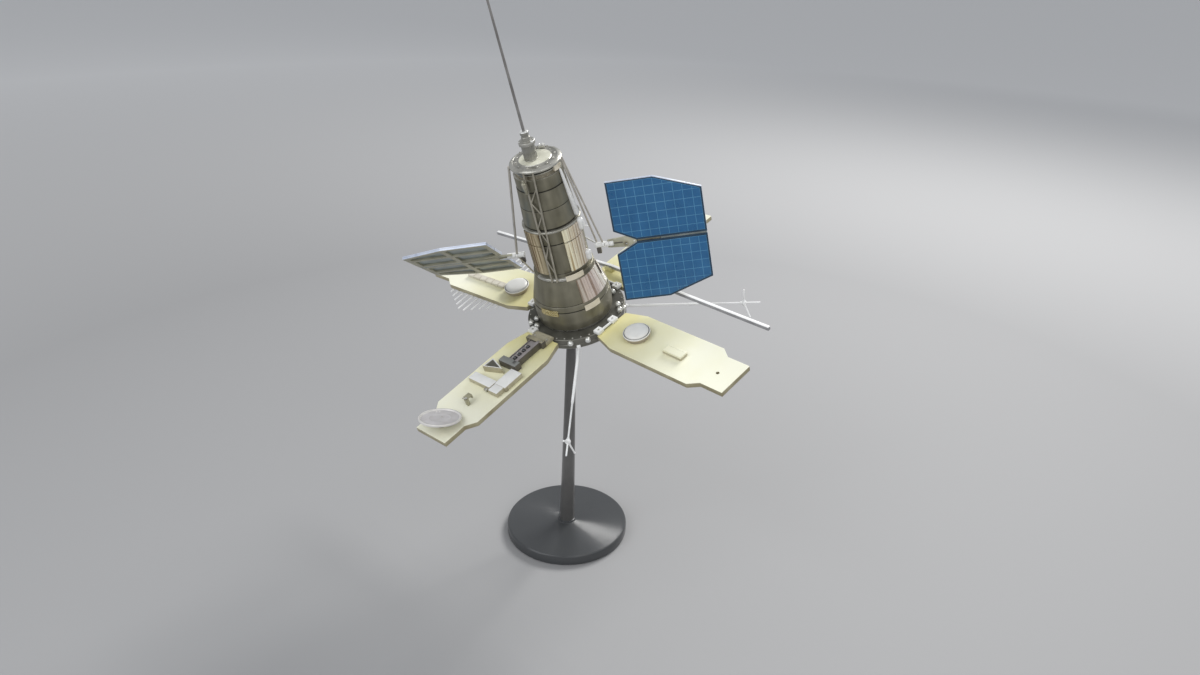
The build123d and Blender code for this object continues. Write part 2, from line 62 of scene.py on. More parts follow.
leaned = turn(-satellite["leanLeft"], "Y") @ turn(satellite["leanForward"], "X")
satellitePlace = shift(satellite["hubX"], 0, satellite["hubHeight"]) @ leaned


def petalPlace(name):
    return satellitePlace @ turn(petalTurns[name])


print("materials")
finishes = {}


def newFinish(name):
    # A new material, and the inputs of its shader
    finish = bpy.data.materials.new(name)
    finish.use_nodes = True
    finishes[name] = finish
    return finish, finish.node_tree.nodes["Principled BSDF"].inputs


def plug(finish, value, socket):
    # Gives an input a value, an output's wire or a node's first output
    if isinstance(value, bpy.types.Node):
        value = value.outputs[0]
    if isinstance(value, bpy.types.NodeSocket):
        finish.node_tree.links.new(value, socket)
    else:
        socket.default_value = value


def addNode(finish, kind, wires, **settings):
    # wires holds what each input gets
    node = finish.node_tree.nodes.new("ShaderNode" + kind)
    for key, value in settings.items():
        setattr(node, key, value)
    for key, value in wires.items():
        plug(finish, value, node.inputs[key])
    return node


def maths(finish, operation, *values):
    return addNode(finish, "Math", dict(enumerate(values)), operation=operation)


def ramp(finish, value, stops):
    # stops are places from 0 to 1, each with its colour
    node = addNode(finish, "ValToRGB", {"Fac": value})
    stopsHere = node.color_ramp.elements
    while len(stopsHere) < len(stops):
        stopsHere.new(0.5)
    for element, (place, colour) in zip(stopsHere, stops):
        element.position = place
        element.color = (*colour, 1)
    return node


def addColour(finish, shader, value, *stops):
    plug(finish, ramp(finish, value, stops), shader["Base Color"])


def rangeOf(finish, value, low, high, toLow=0.0, toHigh=1.0):
    wires = {"Value": value, "From Min": low, "From Max": high, "To Min": toLow, "To Max": toHigh}
    return addNode(finish, "MapRange", wires)


def noise(finish, vector, scale, detail):
    return addNode(finish, "TexNoise", {"Vector": vector, "Scale": scale, "Detail": detail})


def addBump(finish, shader, height, strength, distance):
    wires = {"Height": height, "Strength": strength, "Distance": distance}
    plug(finish, addNode(finish, "Bump", wires), shader["Normal"])


def objectCoords(finish):
    return addNode(finish, "TexCoord", {}).outputs["Object"]


def leanedCoords(finish):
    # Object coordinates turned upright and in millimetres, so that a pattern follows the leaning satellite
    back = satellitePlace.inverted()
    wires = {
        "Vector": objectCoords(finish), "Scale": (1000, 1000, 1000),
        "Rotation": back.to_euler("XYZ"), "Location": back.to_translation(),
    }
    return addNode(finish, "Mapping", wires)


def roundCoords(finish, vector):
    # The angle about the satellite's axis, and the level along it
    split = addNode(finish, "SeparateXYZ", {"Vector": vector}).outputs
    return maths(finish, "ARCTAN2", split["Y"], split["X"]), split["Z"]


def stripes(finish, angle, level, count, drift=0.012, detail=2.5):
    # Noise drawn out along the satellite's axis, with about that many stripes in a radian
    wires = {"X": maths(finish, "MULTIPLY", angle, count), "Y": maths(finish, "MULTIPLY", level, drift)}
    return noise(finish, addNode(finish, "CombineXYZ", wires), 1.0, detail)


def addWear(finish, shader, vector, settings):
    # Fine grain for the bump and a slow change of gloss
    grain = noise(finish, vector, settings.get("grain", 1.2), 4.0)
    addBump(finish, shader, grain, settings.get("bump", 0.12), 0.0003)
    cloud = noise(finish, vector, settings.get("cloud", 0.06), 3.0)
    rough, spread = settings["rough"], settings.get("roughSpread", 0.06)
    plug(finish, rangeOf(finish, cloud, 0.3, 0.7, rough - spread, rough + spread), shader["Roughness"])
    shader["Metallic"].default_value = settings.get("metal", 0.0)
    shader["Coat Weight"].default_value = settings.get("coat", 0.0)
    shader["Coat Roughness"].default_value = 0.1
    return cloud


def paintFinish(name, kind, dark, light, rough, metal=0.0, **extras):
    # Two close tones in slow clouds, fine grain, uneven gloss
    finish, shader = newFinish(name)
    vector = leanedCoords(finish)
    blend = addWear(finish, shader, vector, {"rough": rough, "metal": metal, **extras})
    low, high = 0.32, 0.68
    if kind == "body":
        # broad upright sheen and fine brushing besides
        angle, level = roundCoords(finish, vector)
        broad = stripes(finish, angle, level, 3.2, detail=1.0)
        brushed = stripes(finish, angle, level, 44.0, 0.03)
        both = maths(finish, "MULTIPLY_ADD", broad, 0.56, maths(finish, "MULTIPLY", brushed, 0.08))
        blend = maths(finish, "MULTIPLY_ADD", blend, 0.36, both)
        low, high = 0.38, 0.62
    if kind == "cell":
        # each patch a little different
        speckle = addNode(finish, "TexVoronoi", {"Vector": vector, "Scale": 0.11})
        blend = maths(finish, "MULTIPLY_ADD", speckle, 0.14, blend)
        low, high = 0.35, 0.95
    addColour(finish, shader, blend, (low, dark), (high, light))


# by kind: two close tones, roughness and metal of each finish
paintTable = {
    "plain": {
        "poleGrey": ((0.105, 0.103, 0.1), (0.125, 0.122, 0.118), 0.3),
        "hubOlive": ((0.125, 0.12, 0.1), (0.195, 0.188, 0.16), 0.36, 0.4),
        "hubShade": ((0.06, 0.058, 0.047), (0.105, 0.102, 0.085), 0.45, 0.2),
        "silverBall": ((0.6, 0.6, 0.56), (0.8, 0.8, 0.77), 0.2, 0.55),
        "capSilver": ((0.36, 0.35, 0.31), (0.54, 0.53, 0.48), 0.28, 0.6),
        "capShade": ((0.2, 0.195, 0.17), (0.42, 0.41, 0.37), 0.34, 0.5),
        "capCream": ((0.6, 0.59, 0.47), (0.76, 0.75, 0.63), 0.4, 0.1),
        "boltSilver": ((0.66, 0.66, 0.64), (0.84, 0.84, 0.82), 0.24, 0.3),
        "paleMetal": ((0.36, 0.35, 0.31), (0.56, 0.55, 0.51), 0.3, 0.6),
        "footGrey": ((0.27, 0.265, 0.235), (0.42, 0.41, 0.37), 0.34, 0.5),
        "boomGrey": ((0.2, 0.19, 0.185), (0.31, 0.3, 0.29), 0.34, 0.5),
        "oliveRod": ((0.27, 0.25, 0.2), (0.44, 0.412, 0.345), 0.34, 0.4),
        "beigePaint": ((0.62, 0.555, 0.42), (0.84, 0.77, 0.63), 0.36, 0.1),
        "glossWhite": ((0.72, 0.72, 0.7), (0.84, 0.84, 0.83), 0.14),
        "whitePaint": ((0.78, 0.78, 0.755), (0.87, 0.87, 0.85), 0.4),
        # painted shade: the shaded sides of white blocks
        "creamSideShade": ((0.4, 0.36, 0.24), (0.54, 0.5, 0.36), 0.46),
        "rodWhite": ((0.84, 0.84, 0.83), (0.93, 0.93, 0.92), 0.36),
        # painted shade: the bar's sides
        "barSideShade": ((0.3, 0.3, 0.31), (0.42, 0.42, 0.43), 0.4),
        "petalEdge": ((0.31, 0.27, 0.16), (0.45, 0.41, 0.27), 0.5),
        "puckWhite": ((0.76, 0.75, 0.71), (0.85, 0.845, 0.81), 0.34),
        "puckBeige": ((0.31, 0.26, 0.19), (0.43, 0.375, 0.285), 0.42),
        "mauveTop": ((0.25, 0.225, 0.225), (0.36, 0.33, 0.33), 0.38),
        "blueGrey": ((0.19, 0.195, 0.185), (0.29, 0.295, 0.28), 0.38),
        "darkBrown": ((0.075, 0.066, 0.054), (0.125, 0.113, 0.095), 0.42),
        "tanPaint": ((0.25, 0.225, 0.15), (0.37, 0.335, 0.235), 0.44),
        "hookOlive": ((0.2, 0.19, 0.11), (0.36, 0.34, 0.23), 0.34),
        "lensBlack": ((0.008, 0.008, 0.01), (0.02, 0.02, 0.026), 0.1),
        "dishGrey": ((0.55, 0.525, 0.52), (0.68, 0.655, 0.66), 0.34, 0.1),
        "dishRim": ((0.68, 0.66, 0.63), (0.82, 0.8, 0.77), 0.34, 0.1),
        "railKhaki": ((0.33, 0.32, 0.235), (0.47, 0.455, 0.35), 0.42, 0.15),
        "backBlueGrey": ((0.22, 0.26, 0.262), (0.36, 0.405, 0.4), 0.34, 0.2),
        # painted highlight of the panels' edges
        "panelEdgeHighlight": ((0.5, 0.56, 0.7), (0.7, 0.75, 0.86), 0.3, 0.1),
        "ladderCream": ((0.62, 0.575, 0.47), (0.76, 0.72, 0.62), 0.42),
        "hornOlive": ((0.2, 0.19, 0.14), (0.42, 0.4, 0.31), 0.28, 0.35),
        "bandTan": ((0.17, 0.15, 0.105), (0.4, 0.365, 0.28), 0.26, 0.6),
        # painted shade in the slit between a panel's halves
        "slitShade": ((0.02, 0.045, 0.08), (0.04, 0.08, 0.13), 0.4),
        # olive darkened by painted shade
        "oliveShade": ((0.3, 0.27, 0.19), (0.4, 0.37, 0.27), 0.44),
        "strutPale": ((0.4, 0.375, 0.33), (0.56, 0.53, 0.475), 0.36, 0.3),
    },
    "body": {
        "bodyOlive": ((0.15, 0.14, 0.1), (0.25, 0.234, 0.174), 0.37, 0.55),
        "bodyPale": ((0.3, 0.29, 0.24), (0.46, 0.45, 0.4), 0.28, 0.6),
        # painted shade for the seams and the gaps under the upper body and the cap
        "seamShade": ((0.02, 0.019, 0.013), (0.045, 0.042, 0.03), 0.5, 0.3),
    },
    "cell": {
        "cellBlue": ((0.01, 0.1, 0.25), (0.018, 0.135, 0.315), 0.32),
        "cellGrid": ((0.06, 0.23, 0.41), (0.1, 0.3, 0.5), 0.36),
        "cellRim": ((0.005, 0.03, 0.065), (0.012, 0.05, 0.1), 0.38),
    },
}
# what else a few of them need
paintExtras = {
    "poleGrey": {"roughSpread": 0.02, "coat": 0.4, "bump": 0.01},
    "silverBall": {"coat": 0.5, "bump": 0.04},
    "capShade": {"cloud": 0.12},
    "glossWhite": {"coat": 0.8, "bump": 0.03},
    "hookOlive": {"coat": 0.3},
    "lensBlack": {"roughSpread": 0.03, "coat": 1.0, "bump": 0.01},
    "hornOlive": {"cloud": 0.15},
    "bandTan": {"cloud": 0.1},
    "cellBlue": {"coat": 0.3},
    "cellGrid": {"coat": 0.3},
    "cellRim": {"coat": 0.15},
}
for kind, rows in paintTable.items():
    for name, row in rows.items():
        paintFinish(name, kind, *row, **paintExtras.get(name, {}))


def louvreFinish(name, settings):
    # Polished upright slats: a few broad stripes with narrow ones between, in colours that change across,
    # partly the slats' own gold and rose and partly painted reflection
    finish, shader = newFinish(name)
    vector = leanedCoords(finish)
    addWear(finish, shader, vector, settings)
    angle, level = roundCoords(finish, vector)
    across = rangeOf(finish, angle, math.radians(settings["first"]), math.radians(settings["last"]))
    broad = stripes(finish, angle, level, settings["broad"], 0.008, 1.0)
    fine = stripes(finish, angle, level, settings["fine"])
    both = maths(finish, "MULTIPLY_ADD", broad, 0.62, maths(finish, "MULTIPLY", fine, 0.38))
    contrast = ramp(finish, both, [(0.42, settings["groove"]), (0.53, (1, 1, 1))])
    wires = {"Factor": 1.0, 6: ramp(finish, across, settings["tonesAndSheen"]), 7: contrast}
    mixed = addNode(finish, "Mix", wires, data_type="RGBA", blend_type="MULTIPLY")
    plug(finish, mixed.outputs[2], shader["Base Color"])


louvreTable = {
    "louvreRight": {
        "first": -70.5, "last": -22.0, "broad": 17.0, "fine": 60.0, "rough": 0.3, "metal": 0.2,
        "groove": (0.56, 0.45, 0.33),
        "tonesAndSheen": [(0.0, (0.9, 0.86, 0.66)), (0.3, (0.92, 0.89, 0.75)), (0.45, (0.82, 0.75, 0.6)),
                  (0.75, (0.84, 0.79, 0.71)), (1.0, (0.68, 0.66, 0.64))],
    },
    "louvreLeft": {
        "first": -157.0, "last": -115.5, "broad": 17.0, "fine": 60.0, "rough": 0.3, "metal": 0.3,
        "groove": (0.34, 0.25, 0.15),
        "tonesAndSheen": [(0.0, (0.24, 0.21, 0.14)), (0.4, (0.5, 0.42, 0.28)), (0.7, (0.72, 0.64, 0.46)),
                  (1.0, (0.4, 0.34, 0.22))],
    },
    "louvreSkirt": {
        "first": -69.0, "last": 4.0, "broad": 16.0, "fine": 52.0, "rough": 0.28, "metal": 0.2,
        "groove": (0.5, 0.42, 0.36),
        "tonesAndSheen": [(0.0, (0.58, 0.53, 0.45)), (0.18, (0.7, 0.6, 0.53)), (0.45, (0.78, 0.7, 0.66)),
                  (0.7, (0.76, 0.75, 0.7)), (1.0, (0.84, 0.83, 0.8))],
    },
}
for name, settings in louvreTable.items():
    louvreFinish(name, settings)

# turned black lacquer, its black painted a little grey as a painted reflection of the room: fine rings round
# the disc's middle and a few faint specks of dust
finish, shader = newFinish("glossBlack")
vector = objectCoords(finish)
wires = {"Vector": vector, "Scale": 240.0, "Distortion": 0.4, "Detail": 1.0}
rings = addNode(finish, "TexWave", wires, wave_type="RINGS", rings_direction="Z")
addBump(finish, shader, rings.outputs["Fac"], 0.45, 0.0004)
dustAndGlare = noise(finish, vector, 900.0, 6.0)
addColour(finish, shader, dustAndGlare, (0.66, (0.056, 0.059, 0.062)), (0.76, (0.1, 0.103, 0.107)))
smear = noise(finish, vector, 25.0, 3.0)
plug(finish, rangeOf(finish, smear, 0.0, 1.0, 0.12, 0.26), shader["Roughness"])

# cream paint that turns a little yellower towards the hub, with faint rolling marks
finish, shader = newFinish("petalCream")
vector = leanedCoords(finish)
wear = {"rough": 0.4, "cloud": 0.03, "grain": 0.8, "bump": 0.08, "coat": 0.15}
cloud = addWear(finish, shader, vector, wear)
flat = addNode(finish, "VectorMath", {0: vector, 1: (1, 1, 0)}, operation="MULTIPLY")
reach = addNode(finish, "VectorMath", {0: flat}, operation="LENGTH").outputs["Value"]
outward = rangeOf(finish, reach, 60, 190)
shade = maths(finish, "ADD", outward, maths(finish, "MULTIPLY_ADD", cloud, 0.5, -0.25))
creams = (0.0, (0.72, 0.66, 0.31)), (0.45, (0.85, 0.82, 0.55)), (1.0, (0.88, 0.87, 0.71))
addColour(finish, shader, shade, *creams)

# crumpled gold foil: broken facets in the bump
finish, shader = newFinish("goldFoil")
crumple = addNode(finish, "TexVoronoi", {"Vector": leanedCoords(finish), "Scale": 0.55})
addBump(finish, shader, crumple, 0.9, 0.001)
addColour(finish, shader, crumple, (0.0, (0.55, 0.42, 0.16)), (1.0, (0.88, 0.8, 0.5)))
shader["Metallic"].default_value = 0.8
shader["Roughness"].default_value = 0.22
print(len(finishes), "finishes")

print("modelling tools")


def clearSelection():
    if bpy.context.object and bpy.context.object.mode != "OBJECT":
        bpy.ops.object.mode_set(mode="OBJECT")
    bpy.ops.object.select_all(action="DESELECT")


def selectOnly(piece):
    clearSelection()
    piece.select_set(True)
    bpy.context.view_layer.objects.active = piece


def freeze(piece, matrix=upright):
    # Moves a piece and puts its place into its mesh
    selectOnly(piece)
    piece.matrix_world = matrix @ piece.matrix_world
    bpy.context.view_layer.update()
    bpy.ops.object.transform_apply(location=True, rotation=True, scale=True)
    return piece


def selectFaces(piece, wanted=None, mark=0):
    # In edit mode: selects the faces whose middle and normal pass the test, or those with a mark
    bpy.ops.mesh.select_mode(type="FACE")
    mesh = bmesh.from_edit_mesh(piece.data)
    for face in mesh.faces:
        face.select_set(False)
    for face in mesh.faces:
        picked = wanted(face.calc_center_median(), face.normal) if wanted else face.material_index == mark
        face.select_set(bool(picked))
    mesh.select_flush_mode()
    bmesh.update_edit_mesh(piece.data)


def markSelected(piece, mark):
    mesh = bmesh.from_edit_mesh(piece.data)
    for face in mesh.faces:
        if face.select:
            face.material_index = mark
    bmesh.update_edit_mesh(piece.data)


def openEdit(piece, wanted=None):
    # Edit mode with all of a piece selected, or only the faces that pass the test
    selectOnly(piece)
    bpy.ops.object.mode_set(mode="EDIT")
    if wanted:
        selectFaces(piece, wanted)
    else:
        bpy.ops.mesh.select_all(action="SELECT")


def closeEdit():
    bpy.ops.object.mode_set(mode="OBJECT")


def turnOutwards(piece):
    openEdit(piece)
    bpy.ops.mesh.remove_doubles(threshold=0.0005)
    bpy.ops.mesh.normals_make_consistent(inside=False)
    closeEdit()
    return piece


def softenEdges(piece, width, segments=2, angle=35):
    selectOnly(piece)
    edge = piece.modifiers.new("edge", "BEVEL")
    edge.width = width
    edge.segments = segments
    edge.limit_method = "ANGLE"
    edge.angle_limit = math.radians(angle)
    bpy.ops.object.modifier_apply(modifier="edge")
    return piece


def alongLine(start, end):
    # The middle, turn and length of a round piece between two points
    start, end = Vector(start), Vector(end)
    line = end - start
    return (start + end) / 2, line.to_track_quat("Z", "Y").to_euler(), line.length


def drill(piece, start, end, radius, sides=24, finish=None):
    # Takes a round hole between two points out of a piece
    clearSelection()
    middle, rotation, depth = alongLine(start, end)
    bpy.ops.mesh.primitive_cylinder_add(
        vertices=sides, radius=radius, depth=depth, location=middle, rotation=rotation,
    )
    cutter = freeze(bpy.context.object)
    if finish:
        paint(cutter, finish)
    selectOnly(piece)
    cut = piece.modifiers.new("cut", "BOOLEAN")
    cut.operation = "DIFFERENCE"
    cut.solver = "EXACT"
    cut.object = cutter
    bpy.ops.object.modifier_apply(modifier="cut")
    bpy.data.objects.remove(cutter)


def turned(profile, segments=96):
    # A turned piece: a disc drawn up through the profile's radii and levels
    clearSelection()
    radius, level = profile[0]
    bpy.ops.mesh.primitive_circle_add(
        vertices=segments, radius=radius, fill_type="NGON", location=(0, 0, level),
    )
    piece = freeze(bpy.context.object)
    openEdit(piece)
    for nextRadius, nextLevel in profile[1:]:
        bpy.ops.mesh.extrude_region_move(TRANSFORM_OT_translate={"value": (0, 0, nextLevel - level)})
        growth = nextRadius / radius
        bpy.ops.transform.resize(value=(growth, growth, 1), center_override=(0, 0, nextLevel))
        radius, level = nextRadius, nextLevel
    closeEdit()
    return turnOutwards(piece)


def hoop(profile, segments=40):
    # A closed ring: the profile's corners joined up and spun all the way round
    clearSelection()
    bpy.ops.mesh.primitive_circle_add(vertices=len(profile), radius=1, fill_type="NOTHING")
    piece = bpy.context.object
    for corner, (radius, level) in zip(piece.data.vertices, profile):
        corner.co = (radius, 0, level)
    openEdit(piece)
    bpy.ops.mesh.spin(steps=segments, angle=2 * math.pi, center=(0, 0, 0), axis=(0, 0, 1))
    closeEdit()
    return turnOutwards(piece)


def sector(inner, outer, low, high, first, last, steps, lean=0.0):
    # A curved sheet between two azimuths; lean draws its upper edge in
    clearSelection()
    middle = ((inner + outer) / 2, 0, (low + high) / 2)
    bpy.ops.mesh.primitive_plane_add(size=1, location=middle, rotation=(math.pi / 2, 0, 0))
    piece = bpy.context.object
    piece.scale = (outer - inner, high - low, 1)
    freeze(piece)
    for corner in piece.data.vertices:
        if corner.co.z > middle[2]:
            corner.co.x -= lean
    openEdit(freeze(piece, turn(first)))
    bpy.ops.mesh.spin(steps=steps, angle=-math.radians(last - first), center=(0, 0, 0), axis=(0, 0, 1))
    closeEdit()
    return turnOutwards(piece)


def rod(start, end, radius, endRadius=None, sides=20):
    # A round rod between two points with softened ends
    clearSelection()
    middle, rotation, depth = alongLine(start, end)
    endRadius = endRadius or radius
    bpy.ops.mesh.primitive_cone_add(
        vertices=sides, radius1=radius, radius2=endRadius, depth=depth, location=middle, rotation=rotation,
    )
    return softenEdges(freeze(bpy.context.object), endRadius * 0.22, 2, 50)


def box(low, high, edge=0.35, segments=2):
    # A block between two corners with softened edges
    clearSelection()
    low, high = Vector(low), Vector(high)
    bpy.ops.mesh.primitive_cube_add(size=1, location=(low + high) / 2)
    piece = bpy.context.object
    piece.scale = high - low
    return softenEdges(freeze(piece), edge, segments)


def cappedBox(low, high, edge, side, top):
    # A block with its top in another finish
    return paint(paint(box(low, high, edge), side), top, lambda spot, normal: normal.z > 0.45)


def sunkTop(piece, rim, depth, finish=None):
    # Draws the upward faces in by a rim, sets them down, and paints what was set down
    if finish:
        piece.data.materials.append(finishes[finish])
    top = max(corner.co.z for corner in piece.data.vertices)
    openEdit(piece, lambda spot, normal: normal.z > 0.95 and spot.z > top - 0.05)
    bpy.ops.mesh.inset(thickness=rim, depth=0)
    bpy.ops.mesh.inset(thickness=0.12, depth=-depth)
    if finish:
        markSelected(piece, len(piece.data.materials) - 1)
    closeEdit()
    return piece


def plateOf(outline, low, high, edge=0.35):
    # A flat plate: its outline's corners joined round, filled and drawn up to its thickness
    clearSelection()
    bpy.ops.mesh.primitive_circle_add(vertices=len(outline), radius=1, fill_type="NGON")
    piece = bpy.context.object
    for corner, (x, y) in zip(piece.data.vertices, outline):
        corner.co = (x, y, low)
    openEdit(piece)
    bpy.ops.mesh.extrude_region_move(TRANSFORM_OT_translate={"value": (0, 0, high - low)})
    closeEdit()
    turnOutwards(piece)
    return softenEdges(piece, edge) if edge else piece


def mirrored(edge):
    # An outline from one side's edge
    return edge + [(x, -y) for x, y in reversed(edge)]


def ball(spot, radius, segments=24, squeeze=1.0):
    # A round knob; squeeze flattens it
    clearSelection()
    rings = segments * 2 // 3
    bpy.ops.mesh.primitive_uv_sphere_add(segments=segments, ring_count=rings, radius=radius, location=spot)
    piece = bpy.context.object
    piece.scale = (1, 1, squeeze)
    return freeze(piece)


def capsule(start, end, startRadius, endRadius, segments=32):
    # A rounded tapered piece between two points
    start, end = Vector(start), Vector(end)
    line = end - start
    quarter = [math.pi / 2 * i / 6 for i in range(1, 7)]
    profile = [(startRadius * math.sin(angle), -startRadius * math.cos(angle)) for angle in quarter]
    for angle in reversed(quarter):
        profile.append((endRadius * math.sin(angle), line.length + endRadius * math.cos(angle)))
    place = Matrix.Translation(start) @ line.to_track_quat("Z", "Y").to_matrix().to_4x4()
    return freeze(turned(profile, segments), place)


def boltHead(spot, radius, height=0.6, sides=6):
    # A small screw head that stands on a level spot
    piece = turned([(radius, 0), (radius, height * 0.7), (radius * 0.75, height)], sides)
    return freeze(piece, shift(*spot))


def screwRow(spots, level, radius, height, finish):
    return [paint(boltHead((*spot, level), radius, height), finish) for spot in spots]


def joined(pieces):
    pieces = pieces if isinstance(pieces, list) else [pieces]
    clearSelection()
    for piece in pieces:
        piece.select_set(True)
    bpy.context.view_layer.objects.active = pieces[0]
    if len(pieces) > 1:
        bpy.ops.object.join()
    return pieces[0]


def paint(piece, finish, wanted=None):
    # Gives the whole piece, or the faces that pass the test, a finish
    names = [slot.name for slot in piece.data.materials if slot]
    if finish not in names:
        piece.data.materials.append(finishes[finish])
        names.append(finish)
    index = names.index(finish)
    for face in piece.data.polygons:
        if wanted is None or wanted(face.center, face.normal):
            face.material_index = index
    return piece


def settle(parts, name, place, node, slot, smooth=32, body="root"):
    # Joins a piece's finished parts and brings it to metres and its place, in a CAD node's stead
    piece = freeze(joined(parts), toMetres @ place)
    bpy.ops.object.shade_smooth_by_angle(angle=math.radians(smooth))
    piece.name = name
    piece.data.name = name
    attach(piece, body)
    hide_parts(node)


print("stand")
stand = {
    "disc": [(78.6, 0), (80, 1.2), (80, 10.4), (79.5, 12.2), (78.2, 13.5), (76.2, 14), (14.2, 14),
             (12.0, 14.3), (11.5, 15.0), (11.5, 16.0), (11.1, 16.5), (9.8, 16.5)],
    "poleFoot": 9.75, "poleTop": 5.3, "poleLean": 0.9, "poleFrom": 15.0, "poleTo": 314.0,
}
discPiece = softenEdges(turned(stand["disc"], 160), 0.5, 2, 20)
settle(paint(discPiece, "glossBlack"), "standDisc", upright, "base_disc", "gloss_black")
leanShift = math.tan(math.radians(stand["poleLean"]))
poleEnds = [(leanShift * level, 0, level) for level in (stand["poleFrom"], stand["poleTo"])]
polePiece = rod(*poleEnds, stand["poleFoot"], stand["poleTop"], 64)
settle(paint(polePiece, "poleGrey"), "standPole", upright, "pole", "pole_grey")

print("hub")
hub = {
    "profile": [(57.8, -14), (59.5, -12.4), (59.5, -7.6), (58.9, -7.3), (58.9, -6.7), (59.5, -6.4),
                (59.5, -0.8), (58.8, 0), (44, 0)],
    "boltCount": 36, "boltCircle": 56.4, "ballRadius": 3.5,
    # azimuth, radius, level of the small bottles
    "balls": [
        (-97.7, 61.0, -3.5), (-78.4, 61.0, -3.5), (78.4, 61.0, -3.5), (97.7, 61.0, -3.5), (-12.0, 52.5, 3.2),
        (-22.0, 57.0, 2.8), (-15.0, 59.5, -0.5), (19.0, 49.0, 3.2), (-168.0, 48.5, 3.2), (-164.0, 56.5, 3.0),
        (-154.0, 52.5, 2.6),
    ],
}
hubPiece = paint(softenEdges(turned(hub["profile"], 160), 0.25, 2, 30), "hubOlive")
paint(hubPiece, "hubShade", lambda spot, normal: normal.z > 0.9)
paint(hubPiece, "paleMetal", lambda spot, normal: spot.z < -12.2 and normal.z > -0.9)
boltPitch = 360 / hub["boltCount"]
hubBolts = [
    boltHead(polar(i * boltPitch + 5, hub["boltCircle"], -0.05), 1.0, 0.75) for i in range(hub["boltCount"])
]
hubPiece = joined([hubPiece, paint(joined(hubBolts), "paleMetal")])
settle(hubPiece, "hubRing", satellitePlace, "hub_ring", "dark_metal")
bottles = []
for azimuth, radius, level in hub["balls"]:
    bottle = paint(ball(polar(azimuth, radius, level), hub["ballRadius"], 28), "silverBall")
    neck = boltHead(polar(azimuth, radius, level + hub["ballRadius"] - 0.35), 1.0, 0.9, 12)
    bottles += [bottle, paint(neck, "paleMetal")]
settle(bottles, "hubBottles", satellitePlace, "hub_bottles", "silver")

print("body")
body = {
    "skirt": [
        (43.5, 0), (44.6, 2.5), (45.0, 2.8), (45.1, 3.4), (45.5, 6), (46.1, 10.5), (46.2, 14), (46.0, 20),
        (45.6, 27.5), (44.8, 27.7), (44.8, 28.8), (45.5, 29.0), (43.8, 35.0), (43.2, 35.2), (43.1, 35.8),
        (43.6, 36.0), (35.25, 65.2),
    ],
    "belt": [
        (31.0, 65.2), (34.6, 65.2), (35.4, 66.0), (35.5, 67.1), (35.4, 68.2), (34.6, 69.0), (31.5, 69.0),
    ],
    "middle": [
        (32, 65.2), (32, 73.0), (31.6, 73.2), (31.6, 73.8), (32, 74.0), (32, 112), (31.4, 112.1),
        (31.4, 113.4), (32, 113.5), (32, 128.5), (33.1, 128.5), (33.5, 129.0), (33.5, 130.5), (33.0, 131.0),
        (30.6, 131.0),
    ],
    "upper": [
        (30, 130.8), (30, 133.4), (30.9, 133.5), (29.35, 154.8), (28.95, 155.0), (28.9, 155.6),
        (29.25, 155.8), (27.8, 177), (27.1, 177.1), (27.1, 178.3), (27.3, 178.5), (27.3, 192.3),
        (25.2, 192.5), (25.2, 196.6), (25.9, 196.9), (25.9, 197.9), (25.2, 198.2), (25.2, 201),
    ],
    "cap": [
        (26.5, 201), (28.6, 201), (29.0, 201.5), (29.0, 202.9), (28.6, 203.4), (26.4, 204.6), (25.0, 205.1),
        (24.4, 204.6), (18.4, 204.6), (17.8, 205.4), (17.0, 205.5), (7.0, 205.5),
    ],
    # finishes that a part has between two levels, each over the ones before it; seamShade is painted shade,
    # near-black in the recessed seams, which are dark joints too, and in the gaps under the upper body and
    # the cap
    "bands": {
        "skirt": [("seamShade", 27.6, 28.9), ("seamShade", 35.1, 35.9), ("bodyPale", 2.4, 3.5),
                  ("paleMetal", -1, 2.4)],
        "middle": [("seamShade", 73.1, 73.9), ("seamShade", 112.0, 113.45), ("bodyPale", 128.4, 132)],
        "upper": [("seamShade", 130.0, 133.45), ("seamShade", 154.9, 155.7), ("seamShade", 177.05, 178.4),
                  ("bandTan", 192.35, 202), ("bodyPale", 196.7, 198.1), ("bodyPale", 192.0, 192.5),
                  ("seamShade", 198.15, 202)],
    },
    # azimuth, then radius and level of the white pipe's corners
    "pipeAzimuth": 6.0, "pipe": [(35.6, 64.0), (43.5, 36.0), (45.7, 27.5), (46.1, 12.0)], "pipeRadius": 0.7,
    # azimuths of the belt's pale part, then levels and radii that bound the cap's darker and creamy parts
    "beltPale": (-150, -85), "capShade": (204.9, 24.6), "capCream": (205.2, 17.6),
    # count, first azimuth, radius, level, size and height of the cap's two rows of studs
    "studs": ((12, 8, 21.5, 204.5, 1.25, 0.9), (8, -50, 26.9, 203.7, 0.8, 1.2)),
}
# part, piece's name, CAD node, finish, slot
bodyRows = (
    ("skirt", "bodySkirt", "lower_body", "bodyOlive", "olive_metal"),
    ("belt", "beltRing", "belt_ring", "bodyOlive", "pale_rod"),
    ("middle", "bodyMiddle", "middle_body", "bodyOlive", "olive_metal"),
    ("upper", "bodyUpper", "upper_body", "bodyOlive", "olive_metal"),
    ("cap", "topCap", "top_cap", "capSilver", "cap_metal"),
)


def azimuthOf(spot):
    return math.degrees(math.atan2(spot.y, spot.x))


def outOf(spot):
    return math.hypot(spot.x, spot.y)


